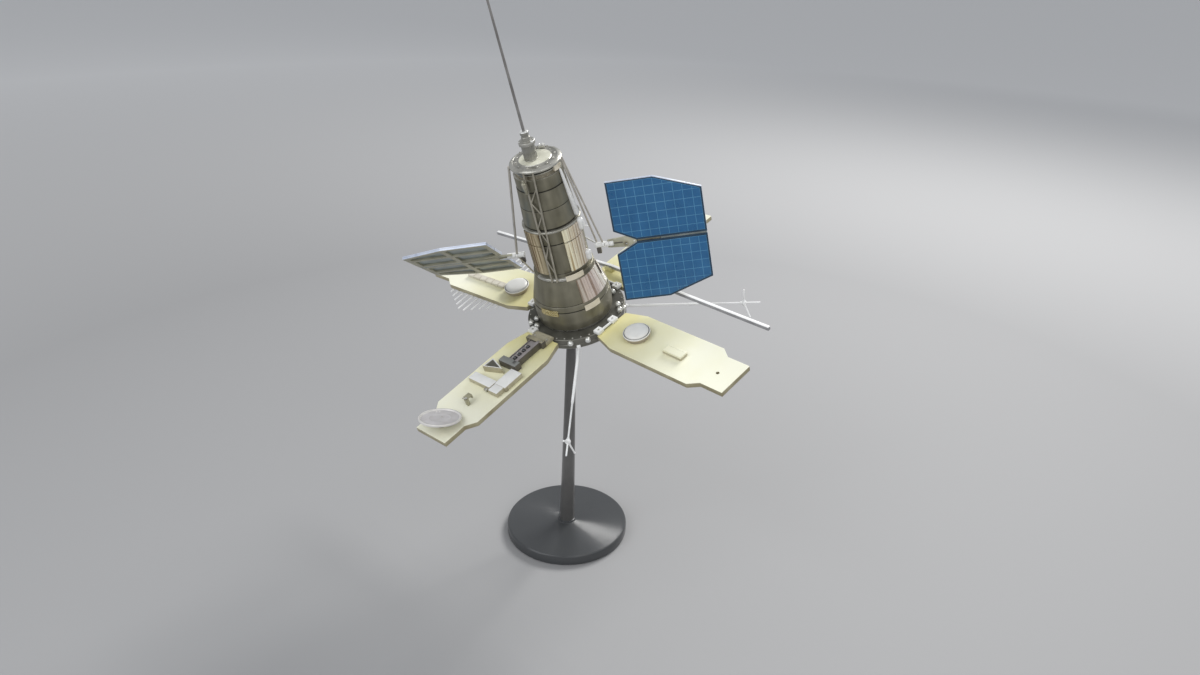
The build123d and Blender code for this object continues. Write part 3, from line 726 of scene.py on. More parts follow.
for part, name, nodeName, finish, slot in bodyRows:
    piece = paint(softenEdges(turned(body[part], 128), 0.2, 2, 25), finish)
    for band, low, high in body["bands"].get(part, ()):
        paint(piece, band, lambda spot, normal: low < spot.z < high)
    added = []
    if part == "skirt":
        pipeLine = [polar(body["pipeAzimuth"], *corner) for corner in body["pipe"]]
        added = [rod(start, end, body["pipeRadius"], sides=12) for start, end in zip(pipeLine, pipeLine[1:])]
        added += [ball(spot, body["pipeRadius"], 12) for spot in pipeLine]
        paint(joined(added), "glossWhite")
    if part == "belt":
        first, last = body["beltPale"]
        paint(piece, "paleMetal", lambda spot, normal: first < azimuthOf(spot) < last)
    if part == "cap":
        for band, way in (("capShade", -1), ("capCream", 1)):
            level, reach = body[band]
            paint(piece, band, lambda spot, normal: way * (spot.z - level) > 0 and outOf(spot) < reach)
        for count, first, radius, level, *sizes in body["studs"]:
            spots = [polar(360 / count * i + first, radius, level) for i in range(count)]
            added += [boltHead(spot, *sizes, 10) for spot in spots]
        paint(joined(added), "paleMetal")
    settle([piece] + added[:1], name, satellitePlace, nodeName, slot)

print("louvres and plates")
# CAD node: finish, slot, inner and outer radius, first and last azimuth, slats, lean, levels of its sheets
louvres = {
    "middle_louvre_right": (
        "louvreRight", "louvre_gold", 32.1, 34.1, -70.5, -22.0, 26, 0.0, ((75.0, 112.0), (113.5, 128.3)),
    ),
    "middle_louvre_left": (
        "louvreLeft", "louvre_gold", 32.1, 34.1, -157.0, -115.5, 22, 0.0, ((75.0, 112.0), (113.5, 128.3)),
    ),
    "skirt_louvre": ("louvreSkirt", "louvre_rose", 43.6, 44.6, -69.0, 4.0, 42, 7.68, ((36.0, 63.0),)),
}


def facesOut(spot, normal):
    return normal.x * spot.x + normal.y * spot.y > 20


for nodeName, (finish, slot, inner, outer, first, last, slats, lean, levels) in louvres.items():
    pitch = (last - first) / slats
    sheets = []
    for low, high in levels:
        sheet = sector(inner, outer, low, high, first, last, slats * 3, lean)
        # two thirds of each slat's width stand out
        openEdit(sheet, lambda spot, normal: facesOut(spot, normal) and low + 0.2 < spot.z < high - 0.2
                 and (azimuthOf(spot) - first) % pitch > pitch / 3)
        bpy.ops.mesh.inset(thickness=0.1, depth=0.3, use_individual=False)
        closeEdit()
        sheets.append(paint(sheet, finish))
    settle(sheets, "louvre_" + nodeName, satellitePlace, nodeName, slot, 20)

# inner radius, outer radius, low, high, first and last azimuth, steps, lean
plateRows = [
    (35.65, 36.5, 65.2, 72.0, -85.0, -50.0, 18, 0.0), (45.8, 46.7, 25.4, 32.5, -69.0, -43.0, 18, 0.5),
    (25.2, 27.9, 194.5, 200.8, -44.0, -22.0, 18, 0.0),
]
foilRow = (45.8, 46.6, 24.5, 32.0, -139.0, -109.5, 22, 0.4)
crumple = (-0.12, 0.2)
plates = []
for row in plateRows:
    sheet = sector(*row)
    openEdit(sheet, facesOut)
    bpy.ops.mesh.inset(thickness=0.6, depth=-0.12)
    closeEdit()
    plates.append(softenEdges(sheet, 0.15, 2, 40))
settle(paint(joined(plates), "beigePaint"), "edgePlates", satellitePlace, "edge_plates", "beige_plate")
foil = sector(*foilRow)
openEdit(foil)
bpy.ops.mesh.subdivide(number_cuts=3)
closeEdit()
for corner in foil.data.vertices:
    corner.co += Vector((corner.co.x, corner.co.y, 0)).normalized() * random.uniform(*crumple)
settle(paint(foil, "goldFoil"), "foilPatch", satellitePlace, "foil_patch", "foil_gold")

print("pods, channel and horn")
# azimuth, radius and level of both ends, then both radii
pods = {
    "channel": ((-29.5, 28.6, 193.0), (-20.0, 32.0, 136.5), 1.4, 3.4),
    "upperPod": ((-25, 35.4, 128.0), (-25, 35.4, 120.5), 4.1, 4.1),
    "lowerPod": ((-25, 35.4, 85.5), (-25, 35.4, 80.0), 4.1, 4.1),
    "spike": ((-25, 36, 121.5), (-25, 44, 121.5), 1.0, 0.6),
    "horn": ((-116.4, 32.4, 191.2), (-115.8, 32.3, 181.0), 2.9, 1.7),
    "hornTip": ((-115.6, 32.6, 192.0), (-115.6, 34.0, 196.6), 1.6, 1.1),
}


def podPiece(build, name, *rest):
    start, end, startRadius, endRadius = pods[name]
    return build(polar(*start), polar(*end), startRadius, endRadius, *rest)


channel = paint(podPiece(capsule, "channel"), "glossWhite")
settle(channel, "sideChannel", satellitePlace, "side_channel", "white_shell", 60)
podPieces = [podPiece(capsule, "upperPod"), podPiece(capsule, "lowerPod"), podPiece(rod, "spike", 16)]
settle(paint(joined(podPieces), "glossWhite"), "sidePods", satellitePlace, "side_pods", "white_shell", 60)
hornParts = [podPiece(capsule, "horn"), podPiece(rod, "hornTip")]
settle(paint(joined(hornParts), "hornOlive"), "frontHorn", satellitePlace, "front_horn", "beige_plate", 60)

print("mast foot and cap instruments")
mastFoot = {
    "place": (-3.6, -2.0), "flutes": 24, "fluteOut": 6.9, "fluteLow": 206.6, "fluteHigh": 213.9,
    "profile": [
        (7.3, 205.4), (7.3, 206.2), (6.9, 206.6), (6.9, 214.0), (7.3, 214.4), (7.3, 222.0), (6.8, 223.0),
        (8.6, 223.0), (9.0, 223.4), (9.0, 226.6), (8.6, 227.0), (4.9, 227.0), (4.7, 227.4), (4.7, 231.4),
        (4.1, 231.8), (4.1, 234.0), (4.7, 234.4), (4.7, 237.4), (4.2, 238.0), (1.7, 238.0),
    ],
    # azimuth, radius, level and size of the small white lugs
    "lugs": [(-172, 7.9, 226.0, 1.5), (-40, 7.6, 226.6, 1.7), (10, 7.9, 226.4, 1.5), (-178, 4.2, 236.6, 1.2),
             (-30, 4.0, 236.8, 1.2)],
}
footPiece = paint(softenEdges(turned(mastFoot["profile"], 72), 0.15, 2, 30), "footGrey")
paint(footPiece, "paleMetal", lambda spot, normal: 222.9 < spot.z < 227.1 and outOf(spot) > 7.0)
paint(footPiece, "boltSilver", lambda spot, normal: spot.z > 237.3)
footParts = [footPiece]
for i in range(mastFoot["flutes"]):
    azimuth = 360 * i / mastFoot["flutes"]
    ends = [polar(azimuth, mastFoot["fluteOut"], mastFoot[end]) for end in ("fluteLow", "fluteHigh")]
    footParts.append(paint(rod(*ends, 0.42, sides=8), "footGrey"))
for azimuth, radius, level, size in mastFoot["lugs"]:
    footParts.append(paint(ball(polar(azimuth, radius, level), size, 16, 0.8), "boltSilver"))
settle(footParts, "mastFoot", satellitePlace @ shift(*mastFoot["place"]), "boom_foot", "pale_rod")

capInstruments = {
    "boxes": [
        ((4, 17.5, 205.4), (11, 23.5, 208.2), "paleMetal"), ((-2, 19, 205.4), (2, 23, 207.4), "footGrey"),
    ],
    # place and lower radius of each knob
    "knobs": [(5.6, 1.3), (9.2, 1.5)], "knobAcross": 20.5, "knobLevels": (208.4, 208.8), "knobTop": 1.3,
}
capParts = [paint(box(low, high), finish) for low, high, finish in capInstruments["boxes"]]
for x, radius in capInstruments["knobs"]:
    ends = [(x, capInstruments["knobAcross"], level) for level in capInstruments["knobLevels"]]
    capParts.append(paint(capsule(*ends, radius, capInstruments["knobTop"], 16), "boltSilver"))
settle(capParts, "capInstruments", satellitePlace, "cap_instruments", "cap_metal")

print("panels")
panel = {
    "level": 86.1, "yaw": -6.5, "turns": {"right": 78.4, "left": 45.6}, "spins": {"right": 0, "left": 180},
    "inner": 64.8, "break": 117.8, "outer": 168.9, "half": 72.0, "outerHalf": 53.4, "notchHalf": 14.1,
    "notchTip": 89.5, "slit": 1.5, "sheet": 1.2, "frameDepth": 2.4, "rail": 6.0, "columns": 10, "rows": 7,
    "paleRim": 0.7, "rim": 1.3, "gridLine": 0.28, "screwSpaces": 8, "screwFrom": 6,
}
frameDepth = panel["frameDepth"]
mirrorAcross = Matrix.Scale(-1, 4, (0, 1, 0))
halfOutline = [
    (panel["inner"], panel["notchHalf"]), (panel["inner"], panel["half"]), (panel["break"], panel["half"]),
    (panel["outer"], panel["outerHalf"]), (panel["outer"], panel["slit"]), (panel["notchTip"], panel["slit"]),
]


def armPlace(side):
    return satellitePlace @ shift(0, 0, panel["level"]) @ turn(panel["yaw"] + panel["spins"][side])


def panelPlace(side):
    return armPlace(side) @ turn(panel["turns"][side], "X") @ shift(0, 0, frameDepth / 2)


def onOutline(spot, reach=0.25):
    # True within that distance of the half's outline
    corners = [Vector((x, y, 0)) for x, y in halfOutline]
    flat = Vector((spot.x, abs(spot.y), 0))
    for start, end in zip(corners, corners[1:] + corners[:1]):
        if (intersect_point_line(flat, start, end)[0] - flat).length < reach:
            return True
    return False


def cellHalf():
    # One half's cell sheet: pale and dark rims, then cells raised a little inside their grid lines
    sheet = plateOf(halfOutline, 0.0, panel["sheet"] - 0.15, edge=0)
    # the side faces keep the first finish, the pale painted highlight of the panel's edge
    for finish in ("panelEdgeHighlight", "cellRim", "cellGrid", "cellBlue", "backBlueGrey", "slitShade"):
        sheet.data.materials.append(finishes[finish])
    openEdit(sheet, lambda spot, normal: normal.z > 0.9)
    markSelected(sheet, 1)
    bpy.ops.mesh.inset(thickness=panel["paleRim"], depth=0)
    bpy.ops.mesh.inset(thickness=panel["rim"], depth=0)
    markSelected(sheet, 2)
    columnPitch = (panel["outer"] - panel["inner"]) / panel["columns"]
    rowPitch = (panel["half"] - panel["slit"]) / panel["rows"]
    cuts = [((panel["inner"] + i * columnPitch, 0, 0), (1, 0, 0)) for i in range(1, panel["columns"])]
    cuts += [((0, panel["slit"] + i * rowPitch, 0), (0, 1, 0)) for i in range(1, panel["rows"])]
    for spot, across in cuts:
        selectFaces(sheet, mark=2)
        bpy.ops.mesh.bisect(plane_co=spot, plane_no=across)
    selectFaces(sheet, mark=2)
    bpy.ops.mesh.inset(thickness=panel["gridLine"], depth=0.12, use_individual=True)
    markSelected(sheet, 3)
    closeEdit()
    paint(sheet, "backBlueGrey", lambda spot, normal: normal.z < -0.9)
    # painted shade: the faces towards the slit are dark
    return paint(sheet, "slitShade", lambda spot, normal: normal.y < -0.9)


def frameHalf():
    # Back frame of one half: a rim, the rail at the break and one long rail, with small screws along them
    rim = plateOf(halfOutline, -frameDepth, 0.0, edge=0)
    openEdit(rim, lambda spot, normal: abs(normal.z) > 0.9)
    bpy.ops.mesh.inset(thickness=panel["rail"], depth=0)
    bpy.ops.mesh.bridge_edge_loops()
    closeEdit()
    paint(softenEdges(turnOutwards(rim), 0.2), "railKhaki")
    # painted highlight: the rim's outer faces near the cells are pale
    paint(rim, "panelEdgeHighlight", lambda spot, normal: abs(normal.z) < 0.3 and spot.z > -1.9 and onOutline(spot))
    # painted shade: the rim's faces towards the slit are dark
    paint(rim, "slitShade", lambda spot, normal: normal.y < -0.9 and spot.y < panel["slit"] + 0.2)
    half = panel["rail"] / 2
    middle = (panel["half"] + panel["slit"]) / 2
    crossLow = (panel["break"] - half, panel["slit"] + 2, -frameDepth + 0.02)
    crossRail = box(crossLow, (panel["break"] + half, panel["half"] - 2, -0.02), 0.2)
    longLow = (panel["inner"] + 2, middle - half, -frameDepth + 0.04)
    longRail = box(longLow, (panel["outer"] - 2, middle + half, -0.04), 0.2)
    screws = []
    screwPitch = (panel["outer"] - panel["inner"] - 2 * panel["screwFrom"]) / panel["screwSpaces"]
    for i in range(panel["screwSpaces"] + 1):
        for across in (middle, panel["slit"] + half):
            spot = (panel["inner"] + panel["screwFrom"] + i * screwPitch, across, 0)
            screws.append(boltHead(spot, 0.8, 0.5))
    screws = [freeze(screw, shift(0, 0, -frameDepth) @ turn(180, "X") @ mirrorAcross) for screw in screws]
    rails = paint(joined([crossRail, longRail]), "railKhaki")
    return joined([rim, rails, paint(turnOutwards(joined(screws)), "paleMetal")])


halfRows = (
    (cellHalf, "cells_", "panel_cells_", "solar_cells"),
    (frameHalf, "backFrame_", "panel_frame_", "panel_frame"),
)
for side in ("right", "left"):
    place = panelPlace(side)
    for build, name, nodeName, slot in halfRows:
        upperHalf = build()
        selectOnly(upperHalf)
        bpy.ops.object.duplicate(linked=False)
        lowerHalf = turnOutwards(freeze(bpy.context.object, mirrorAcross))
        if build == cellHalf:
            # painted highlight: the cells' face is painted pale along the upper edge too
            paint(upperHalf, "panelEdgeHighlight",
                  lambda spot, normal: normal.z > 0.9 and spot.y > 55 and onOutline(spot, 0.45))
        settle([upperHalf, lowerHalf], name + side, place, nodeName + side, slot, 20, side + "_panel")

print("arm joints and brackets")
joint = {
    "profile": [(2.2, 41.5), (3.2, 41.6), (3.6, 42.0), (3.6, 43.4), (3.1, 43.7), (3.1, 49.6), (3.6, 49.9),
                (3.6, 51.9), (3.2, 52.4), (1.6, 52.4), (1.6, 61.2), (1.2, 61.5)],
    "motor": ((42.5, -2.4, -10.5), (47.5, 2.4, -2.6)), "knob": ((45, 0, -10.6), (45, 0, -11.0)),
    "sleeve": [(1.68, 0), (2.9, 0), (3.2, 0.4), (3.2, 4.2), (2.9, 4.6), (1.68, 4.6)],
    "sleevesAt": (53.0, 57.9), "collar": ((62.4, -2.3, -2.3), (64.4, 2.3, -0.1)), "knobRadii": (1.2, 1.0),
    "rootHalf": 4.6, "neckHalf": 5.8, "rootFrom": 56, "neckTo": 72.0, "flareTo": 79.5,
    "sleeveRoom": (51, 63, 3.5), "holeAt": 77.0, "holeDown": 2.0, "holeRadius": 1.7,
    "eyelet": [(1.75, -0.1), (3.1, -0.1), (3.1, 0.35), (2.8, 0.5), (1.75, 0.5)],
    "groove": ((63.5, -0.7, -0.1), (73.2, 0.7, 0.18)), "tipAt": 86.6,
    "spineHalf": 3.0, "spineThick": 1.2, "stripHalf": 1.45, "stripTo": 168.4,
}
alongArm = turn(90, "Y")
middleOfFrame = shift(0, 0, -frameDepth / 2)
for side in ("right", "left"):
    fixed = paint(softenEdges(turned(joint["profile"], 40), 0.12, 2, 30), "whitePaint")
    freeze(fixed, alongArm)
    motor = paint(box(*joint["motor"], 0.5), "darkBrown")
    knob = paint(capsule(*joint["knob"], *joint["knobRadii"], 16), "paleMetal")
    settle([fixed, motor, knob], "armJoint_" + side, armPlace(side), "arm_joint_" + side, "pale_rod")

    share = (panel["notchTip"] - joint["flareTo"]) / (panel["notchTip"] - panel["inner"])
    flareHalf = panel["slit"] + share * (panel["notchHalf"] - panel["slit"])
    edge = [(joint["rootFrom"], joint["rootHalf"]), (joint["neckTo"], joint["neckHalf"]),
            (joint["flareTo"], flareHalf - 0.1), (panel["notchTip"] - 0.3, panel["slit"] - 0.1)]
    sheet = paint(plateOf(mirrored(edge), -frameDepth, 0.0, 0.2), "railKhaki")
    roomFrom, roomTo, roomRadius = joint["sleeveRoom"]
    holeAt, holeDown = joint["holeAt"], joint["holeDown"]
    drill(sheet, (roomFrom, 0, -frameDepth / 2), (roomTo, 0, -frameDepth / 2), roomRadius)
    drill(sheet, (holeAt, -holeDown, -6), (holeAt, -holeDown, 6), joint["holeRadius"])
    parts = [sheet]
    for face in (1, -1):
        up = middleOfFrame @ turn(0 if face > 0 else 180, "X") @ shift(0, 0, frameDepth / 2)
        eyelet = freeze(hoop(joint["eyelet"], 28), shift(holeAt, -holeDown * face))
        groove = box(*joint["groove"], 0.1)
        tip = boltHead((joint["tipAt"], 0, -0.05), 0.9, 0.5, 12)
        for piece, finish in ((eyelet, "tanPaint"), (groove, "darkBrown"), (tip, "boltSilver")):
            parts.append(paint(freeze(piece, up), finish))
    for start in joint["sleevesAt"]:
        sleeve = freeze(hoop(joint["sleeve"]), middleOfFrame @ alongArm @ shift(0, 0, start))
        parts.append(paint(sleeve, "whitePaint"))
    parts.append(paint(box(*joint["collar"], 0.3), "whitePaint"))
    spineLow = (joint["neckTo"], -joint["spineHalf"], -frameDepth - joint["spineThick"])
    parts.append(paint(box(spineLow, (panel["break"], joint["spineHalf"], -frameDepth), 0.25), "railKhaki"))
    # dark strip that closes the slit outward of the spine, standing in for the shade in the gap
    half = joint["stripHalf"]
    strip = box((panel["break"] - 1, -half, -2.3), (joint["stripTo"], half, -0.6), 0.1)
    parts.append(paint(strip, "backBlueGrey"))
    names = "armBracket_" + side, panelPlace(side), "panel_bracket_" + side, "panel_frame"
    settle(parts, *names, body=side + "_panel")

print("petals")
petal = {
    # corners along one side, drawn inwards on the shorter petals at the back from the third on
    "edge": ((59.8, 24.4), (87.6, 32.7), (199.5, 32.7), (211.3, 23.8), (239.9, 23.8)),
    "thick": 6.0, "backShorter": 5.3, "hole": (217.5, -1.9), "holeRadius": 2.0, "rim": 1.1, "sunk": 0.25,
}
for name in petalTurns:
    shorter = petal["backShorter"] if name.startswith("back") else 0
    edge = [(out - shorter if i > 1 else out, half) for i, (out, half) in enumerate(petal["edge"])]
    sheet = plateOf(mirrored(edge), -petal["thick"], 0.0, edge=0)
    openEdit(sheet, lambda spot, normal: normal.z > 0.9)
    bpy.ops.mesh.inset(thickness=petal["rim"], depth=-petal["sunk"])
    closeEdit()
    paint(softenEdges(sheet, 0.3, 2, 30), "petalEdge")
    paint(sheet, "petalCream", lambda spot, normal: spot.z > -0.4 and normal.z > 0.3)
    if name == "front_right":
        drill(sheet, (*petal["hole"], -10), (*petal["hole"], 10), petal["holeRadius"], 28, "hubShade")
    settle(sheet, "petal_" + name + "_sheet", petalPlace(name), "petal_" + name, "petal_cream")

print("root blocks")
rootBlock = {
    "from": 52.5, "to": 61.5, "half": 4.75, "height": 4.0, "barAt": 58.8, "barRadius": 1.4,
    # places across each petal
    "rows": {
        "front_right": (-18.2, 5.6), "front_left": (-18.2,), "back_left": (-16.0, 16.0),
        "back_right": (-16.0, 16.0),
    },
}
rootParts = []
for name, places in rootBlock["rows"].items():
    here = turn(petalTurns[name])
    half, height = rootBlock["half"], rootBlock["height"]
    for across in places:
        ends = (rootBlock["from"], across - half, 0), (rootBlock["to"], across + half, height)
        block = paint(box(*ends, 0.5), "whitePaint")
        screws = screwRow([(57, across)], height - 0.35, 1.3, 0.8, "paleMetal")
        rootParts += [freeze(piece, here) for piece in [sunkTop(block, 1.2, 0.3)] + screws]
    if len(places) == 2:
        ends = [(rootBlock["barAt"], across, height / 2) for across in places]
        rootParts.append(paint(freeze(rod(*ends, rootBlock["barRadius"]), here), "whitePaint"))
settle(rootParts, "rootBlocks", satellitePlace, "root_blocks", "white_block")

print("instruments")
frontLeft = petalPlace("front_left")
puck = {
    "base": [(13.2, 0), (13.5, 0.3), (13.5, 3.7), (13.5, 4.0), (15.4, 4.0), (15.8, 4.4), (15.8, 5.5),
             (15.6, 5.7), (15.8, 5.9), (15.8, 7.0), (15.4, 7.4), (14.9, 7.3), (14.6, 6.7), (13.6, 6.6)],
    "dome": [(13.7, 6.5), (14.0, 7.0), (14.0, 7.8), (13.5, 8.6), (12.2, 9.3), (10.2, 9.75), (7.4, 10.0),
             (3.6, 10.1)],
    "places": {"front_right": (101.9, -1.0), "back_left": (96.4, 2.6)},
}
for name, spot in puck["places"].items():
    base = paint(softenEdges(turned(puck["base"], 72), 0.15, 2, 30), "puckBeige")
    paint(base, "puckWhite", lambda spot, normal: spot.z > 5.8)
    paint(base, "hubShade", lambda spot, normal: spot.z > 6.4 and outOf(spot) < 14.95)
    dome = paint(turned(puck["dome"], 72), "puckWhite")
    place = petalPlace(name) @ shift(*spot)
    settle([base, dome], "puck_" + name + "_dome", place, "puck_" + name, "puck_white", 40)

cameraBox = {
    # low corner, high corner, finish of the top
    "blocks": [
        ((73, -4, 0), (118, 8.2, 6.2), "mauveTop"), ((73, 7.6, 0), (118, 12, 9), "mauveTop"),
        ((73, -4, 0), (118, -2.8, 7.4), "mauveTop"), ((70, -10, 0), (76, 16, 9), "tanPaint"),
        ((112, -11, 0), (121, 16, 9), "blueGrey"),
    ],
    "lensAcross": 3.0, "lensAt": (107.6, 100.4, 93.3, 86.1), "catch": ((-0.9, -0.9, 6.0), (0.9, 0.3, 7.5)),
    "barrel": [(2.8, 5.9), (2.8, 6.5), (2.6, 6.7), (2.4, 6.7)],
    "glass": [(2.5, 6.4), (2.45, 7.0), (2.2, 7.75), (1.7, 8.3), (1.0, 8.65), (0.3, 8.75)],
    "screws": ((73, -7.5), (73, 13.5), (116.5, -8), (116.5, 13)),
}
parts = [cappedBox(low, high, 0.5, "darkBrown", top) for low, high, top in cameraBox["blocks"]]
for out in cameraBox["lensAt"]:
    for profile, finish in (("barrel", "darkBrown"), ("glass", "lensBlack")):
        piece = freeze(turned(cameraBox[profile], 28), shift(out, cameraBox["lensAcross"]))
        parts.append(paint(piece, finish))
    parts.append(paint(freeze(box(*cameraBox["catch"], 0.3), shift(out)), "boltSilver"))
parts += screwRow(cameraBox["screws"], 8.9, 1.1, 0.5, "footGrey")
settle(parts, "cameraBox", frontLeft, "camera_box", "grey_box", 40)

triangleBox = {"corners": [(121, -20), (137, -21.4), (129, 3.4)], "height": 8, "rim": 0.75, "sunk": 0.9}
# painted shade: the sides a darker cream than the white top
triangle = paint(plateOf(triangleBox["corners"], 0, triangleBox["height"], 0.3), "creamSideShade")
paint(triangle, "whitePaint", lambda spot, normal: normal.z > 0.5)
sunkTop(triangle, triangleBox["rim"], triangleBox["sunk"], "hubOlive")
settle(triangle, "triangleBox", frontLeft, "triangle_box", "white_block")

stepped = {
    "blocks": [
        ((146, -24, 0), (158, 11, 6)), ((122.5, 11.1, 0), (150, 28, 6)), ((150.1, 12, 0), (161.5, 26, 6)),
    ],
    "knob": ((157.5, 6.5, 2.6), (161.5, 6.5, 2.6), 2.4), "notch": ((146.2, 25.6, 0), (150.4, 28.4, 4.4)),
    "screws": ((149, -21), (155, -21), (125.5, 25), (125.5, 14), (158.5, 23)),
}
# painted shade: the blocks' sides a darker cream than their white tops
parts = [cappedBox(low, high, 0.45, "creamSideShade", "whitePaint") for low, high in stepped["blocks"]]
parts.append(paint(rod(*stepped["knob"]), "paleMetal"))
parts.append(paint(box(*stepped["notch"], 0.3), "tanPaint"))
parts += screwRow(stepped["screws"], 5.95, 0.8, 0.3, "whitePaint")
settle(parts, "steppedBox", frontLeft, "stepped_box", "white_block")

hookBlocks = [
    ((183.5, 1, 0), (187.5, 5.5, 10)), ((177.5, -1.5, 8), (187.5, 5.5, 10)),
    ((177.5, -1.5, 5), (179.5, 5.5, 8)),
]
hook = paint(joined([box(low, high, 0.9, 3) for low, high in hookBlocks]), "hookOlive")
# painted highlight: the top above the upright leg is white, the rest olive
paint(hook, "whitePaint", lambda spot, normal: normal.z > 0.9 and spot.x > 183 and spot.z > 9)
settle(hook, "hookBracket", frontLeft, "hook_bracket", "beige_plate")

hinge = {
    "plate": ((58, -11, 0), (70, 16, 4.6)), "barrel": ((58.4, -10.8, 2.6), (58.4, 15.8, 2.6)),
    "barrelRadius": 2.2, "screws": ((64.5, -7), (64.5, 12)),
}
# painted shade: the hinge plate and its barrel are a darker olive for the shade they sit in
hingePlate = sunkTop(paint(box(*hinge["plate"], 0.6), "oliveShade"), 1.6, 0.4)
parts = [hingePlate, paint(rod(*hinge["barrel"], hinge["barrelRadius"]), "oliveShade")]
parts += screwRow(hinge["screws"], 4.15, 1.3, 0.8, "paleMetal")
settle(parts, "hingePlate", frontLeft, "hinge_plate", "beige_plate")

creamBox = {"base": ((146, -8, 0), (172, 3.5, 2.5)), "lid": ((146.2, -7.8, 2.2), (171.8, 3.3, 5.0))}
lid = sunkTop(paint(box(*creamBox["lid"], 0.5), "petalCream"), 1.3, 0.25)
# painted shade: the base below the lid in the darker cream of shaded sides
parts = [paint(box(*creamBox["base"], 0.3), "creamSideShade"), lid]
settle(parts, "creamBox", petalPlace("front_right"), "cream_box", "petal_cream")

ladder = {
    "from": 115.5, "to": 183.0, "low": 1.2, "high": 9.2, "height": 3.5, "steps": 6, "baseHeight": 2.6,
    "gap": 0.4,
}
gap = ladder["gap"]
baseLow = (ladder["from"], ladder["low"] + gap, 0)
# painted shade: the base shows as dark lines in the gaps between the steps
parts = [paint(box(baseLow, (ladder["to"], ladder["high"] - gap, ladder["baseHeight"]), 0.2), "oliveShade")]
stepLength = (ladder["to"] - ladder["from"]) / ladder["steps"]
for i in range(ladder["steps"]):
    out = ladder["from"] + i * stepLength
    block = box((out + gap, ladder["low"], 0.3), (out + stepLength - gap, ladder["high"], ladder["height"]))
    parts.append(sunkTop(paint(block, "ladderCream"), 1.1, 0.15))
settle(parts, "ladderBox", petalPlace("back_left"), "ladder_box", "beige_plate")

dish = {
    "out": 222.0, "rise": 8.3, "leanBack": -7.5, "screwAzimuths": (100, 112), "screwsAt": (17.5, 1.4),
    "profile": [(21.6, 0), (22.6, 0.2), (23.2, 0.8), (23.2, 2.5), (22.9, 2.95), (22.2, 3.0), (21.2, 2.7),
                (20.6, 1.6), (19.9, 1.45), (12.0, 1.4), (11.6, 1.55), (11.2, 1.4), (3.0, 1.4)],
    "post": [(5.4, 0.0), (5.4, 0.8), (4.0, 1.6), (4.0, 8.3)],
}
dishSpot = (frontLeft @ shift(dish["out"], 0, dish["rise"])).to_translation()
bowl = paint(softenEdges(turned(dish["profile"], 96), 0.1, 2, 30), "dishRim")
paint(bowl, "dishGrey", lambda spot, normal: outOf(spot) < 20.3 and spot.z > 0.5)
parts = [bowl]
for azimuth in dish["screwAzimuths"]:
    parts.append(paint(boltHead(polar(azimuth, *dish["screwsAt"]), 1.0, 0.5, 10), "dishRim"))
bowl = freeze(joined(parts), Matrix.Translation(dishSpot) @ turn(dish["leanBack"], "X"))
post = freeze(paint(turned(dish["post"], 32), "tanPaint"), frontLeft @ shift(dish["out"]))
settle([bowl, post], "roundDish", upright, "round_dish", "dish_grey", 40)

print("rods and antennas")
bar = {
    "right": 240.0, "left": 204.5, "bendAt": 14.0, "bend": 5.3, "half": 2.0, "low": 4.0, "top": 8.5,
    "distance": 79.8, "azimuth": 43.6,
    "clampWall": 2.4, "clampTop": 6.5, "clampBefore": 2.5, "clampAfter": 9.6,
}
barPlace = satellitePlace @ turn(bar["azimuth"]) @ shift(bar["distance"], bar["bendAt"])
half, low, top = bar["half"], bar["low"], bar["top"]
rightArm = box((-half, -bar["right"], low), (half, 0.6, top), 0.4)
leftArm = freeze(box((-half, -0.6, low), (half, bar["left"], top), 0.4), turn(bar["bend"]))
# painted shade: the bar's sides are grey and only its top white
barPiece = paint(joined([rightArm, leftArm]), "barSideShade")
paint(barPiece, "rodWhite", lambda spot, normal: normal.z > 0.4)
settle(barPiece, "barAntenna", barPlace, "bar_antenna", "white_rod")
wide = half + bar["clampWall"]
before, after = bar["clampBefore"], bar["clampAfter"]
parts = []
for side in (-1, 1):
    edges = sorted((side * (half + 0.1), side * wide))
    parts.append(box((edges[0], -before, 0), (edges[1], after, bar["clampTop"]), 0.5))
parts.append(box((-wide + 0.2, -before, 0), (wide - 0.2, after, low - 0.1), 0.4))
clamp = paint(joined(parts), "petalCream")
spots = [(side * (wide - 1.2), across) for side in (-1, 1) for across in (0.5, 6.5)]
screws = screwRow(spots, bar["clampTop"] - 0.05, 0.8, 0.6, "paleMetal")
settle([clamp] + screws, "barClamp", barPlace, "bar_clamp", "petal_cream")

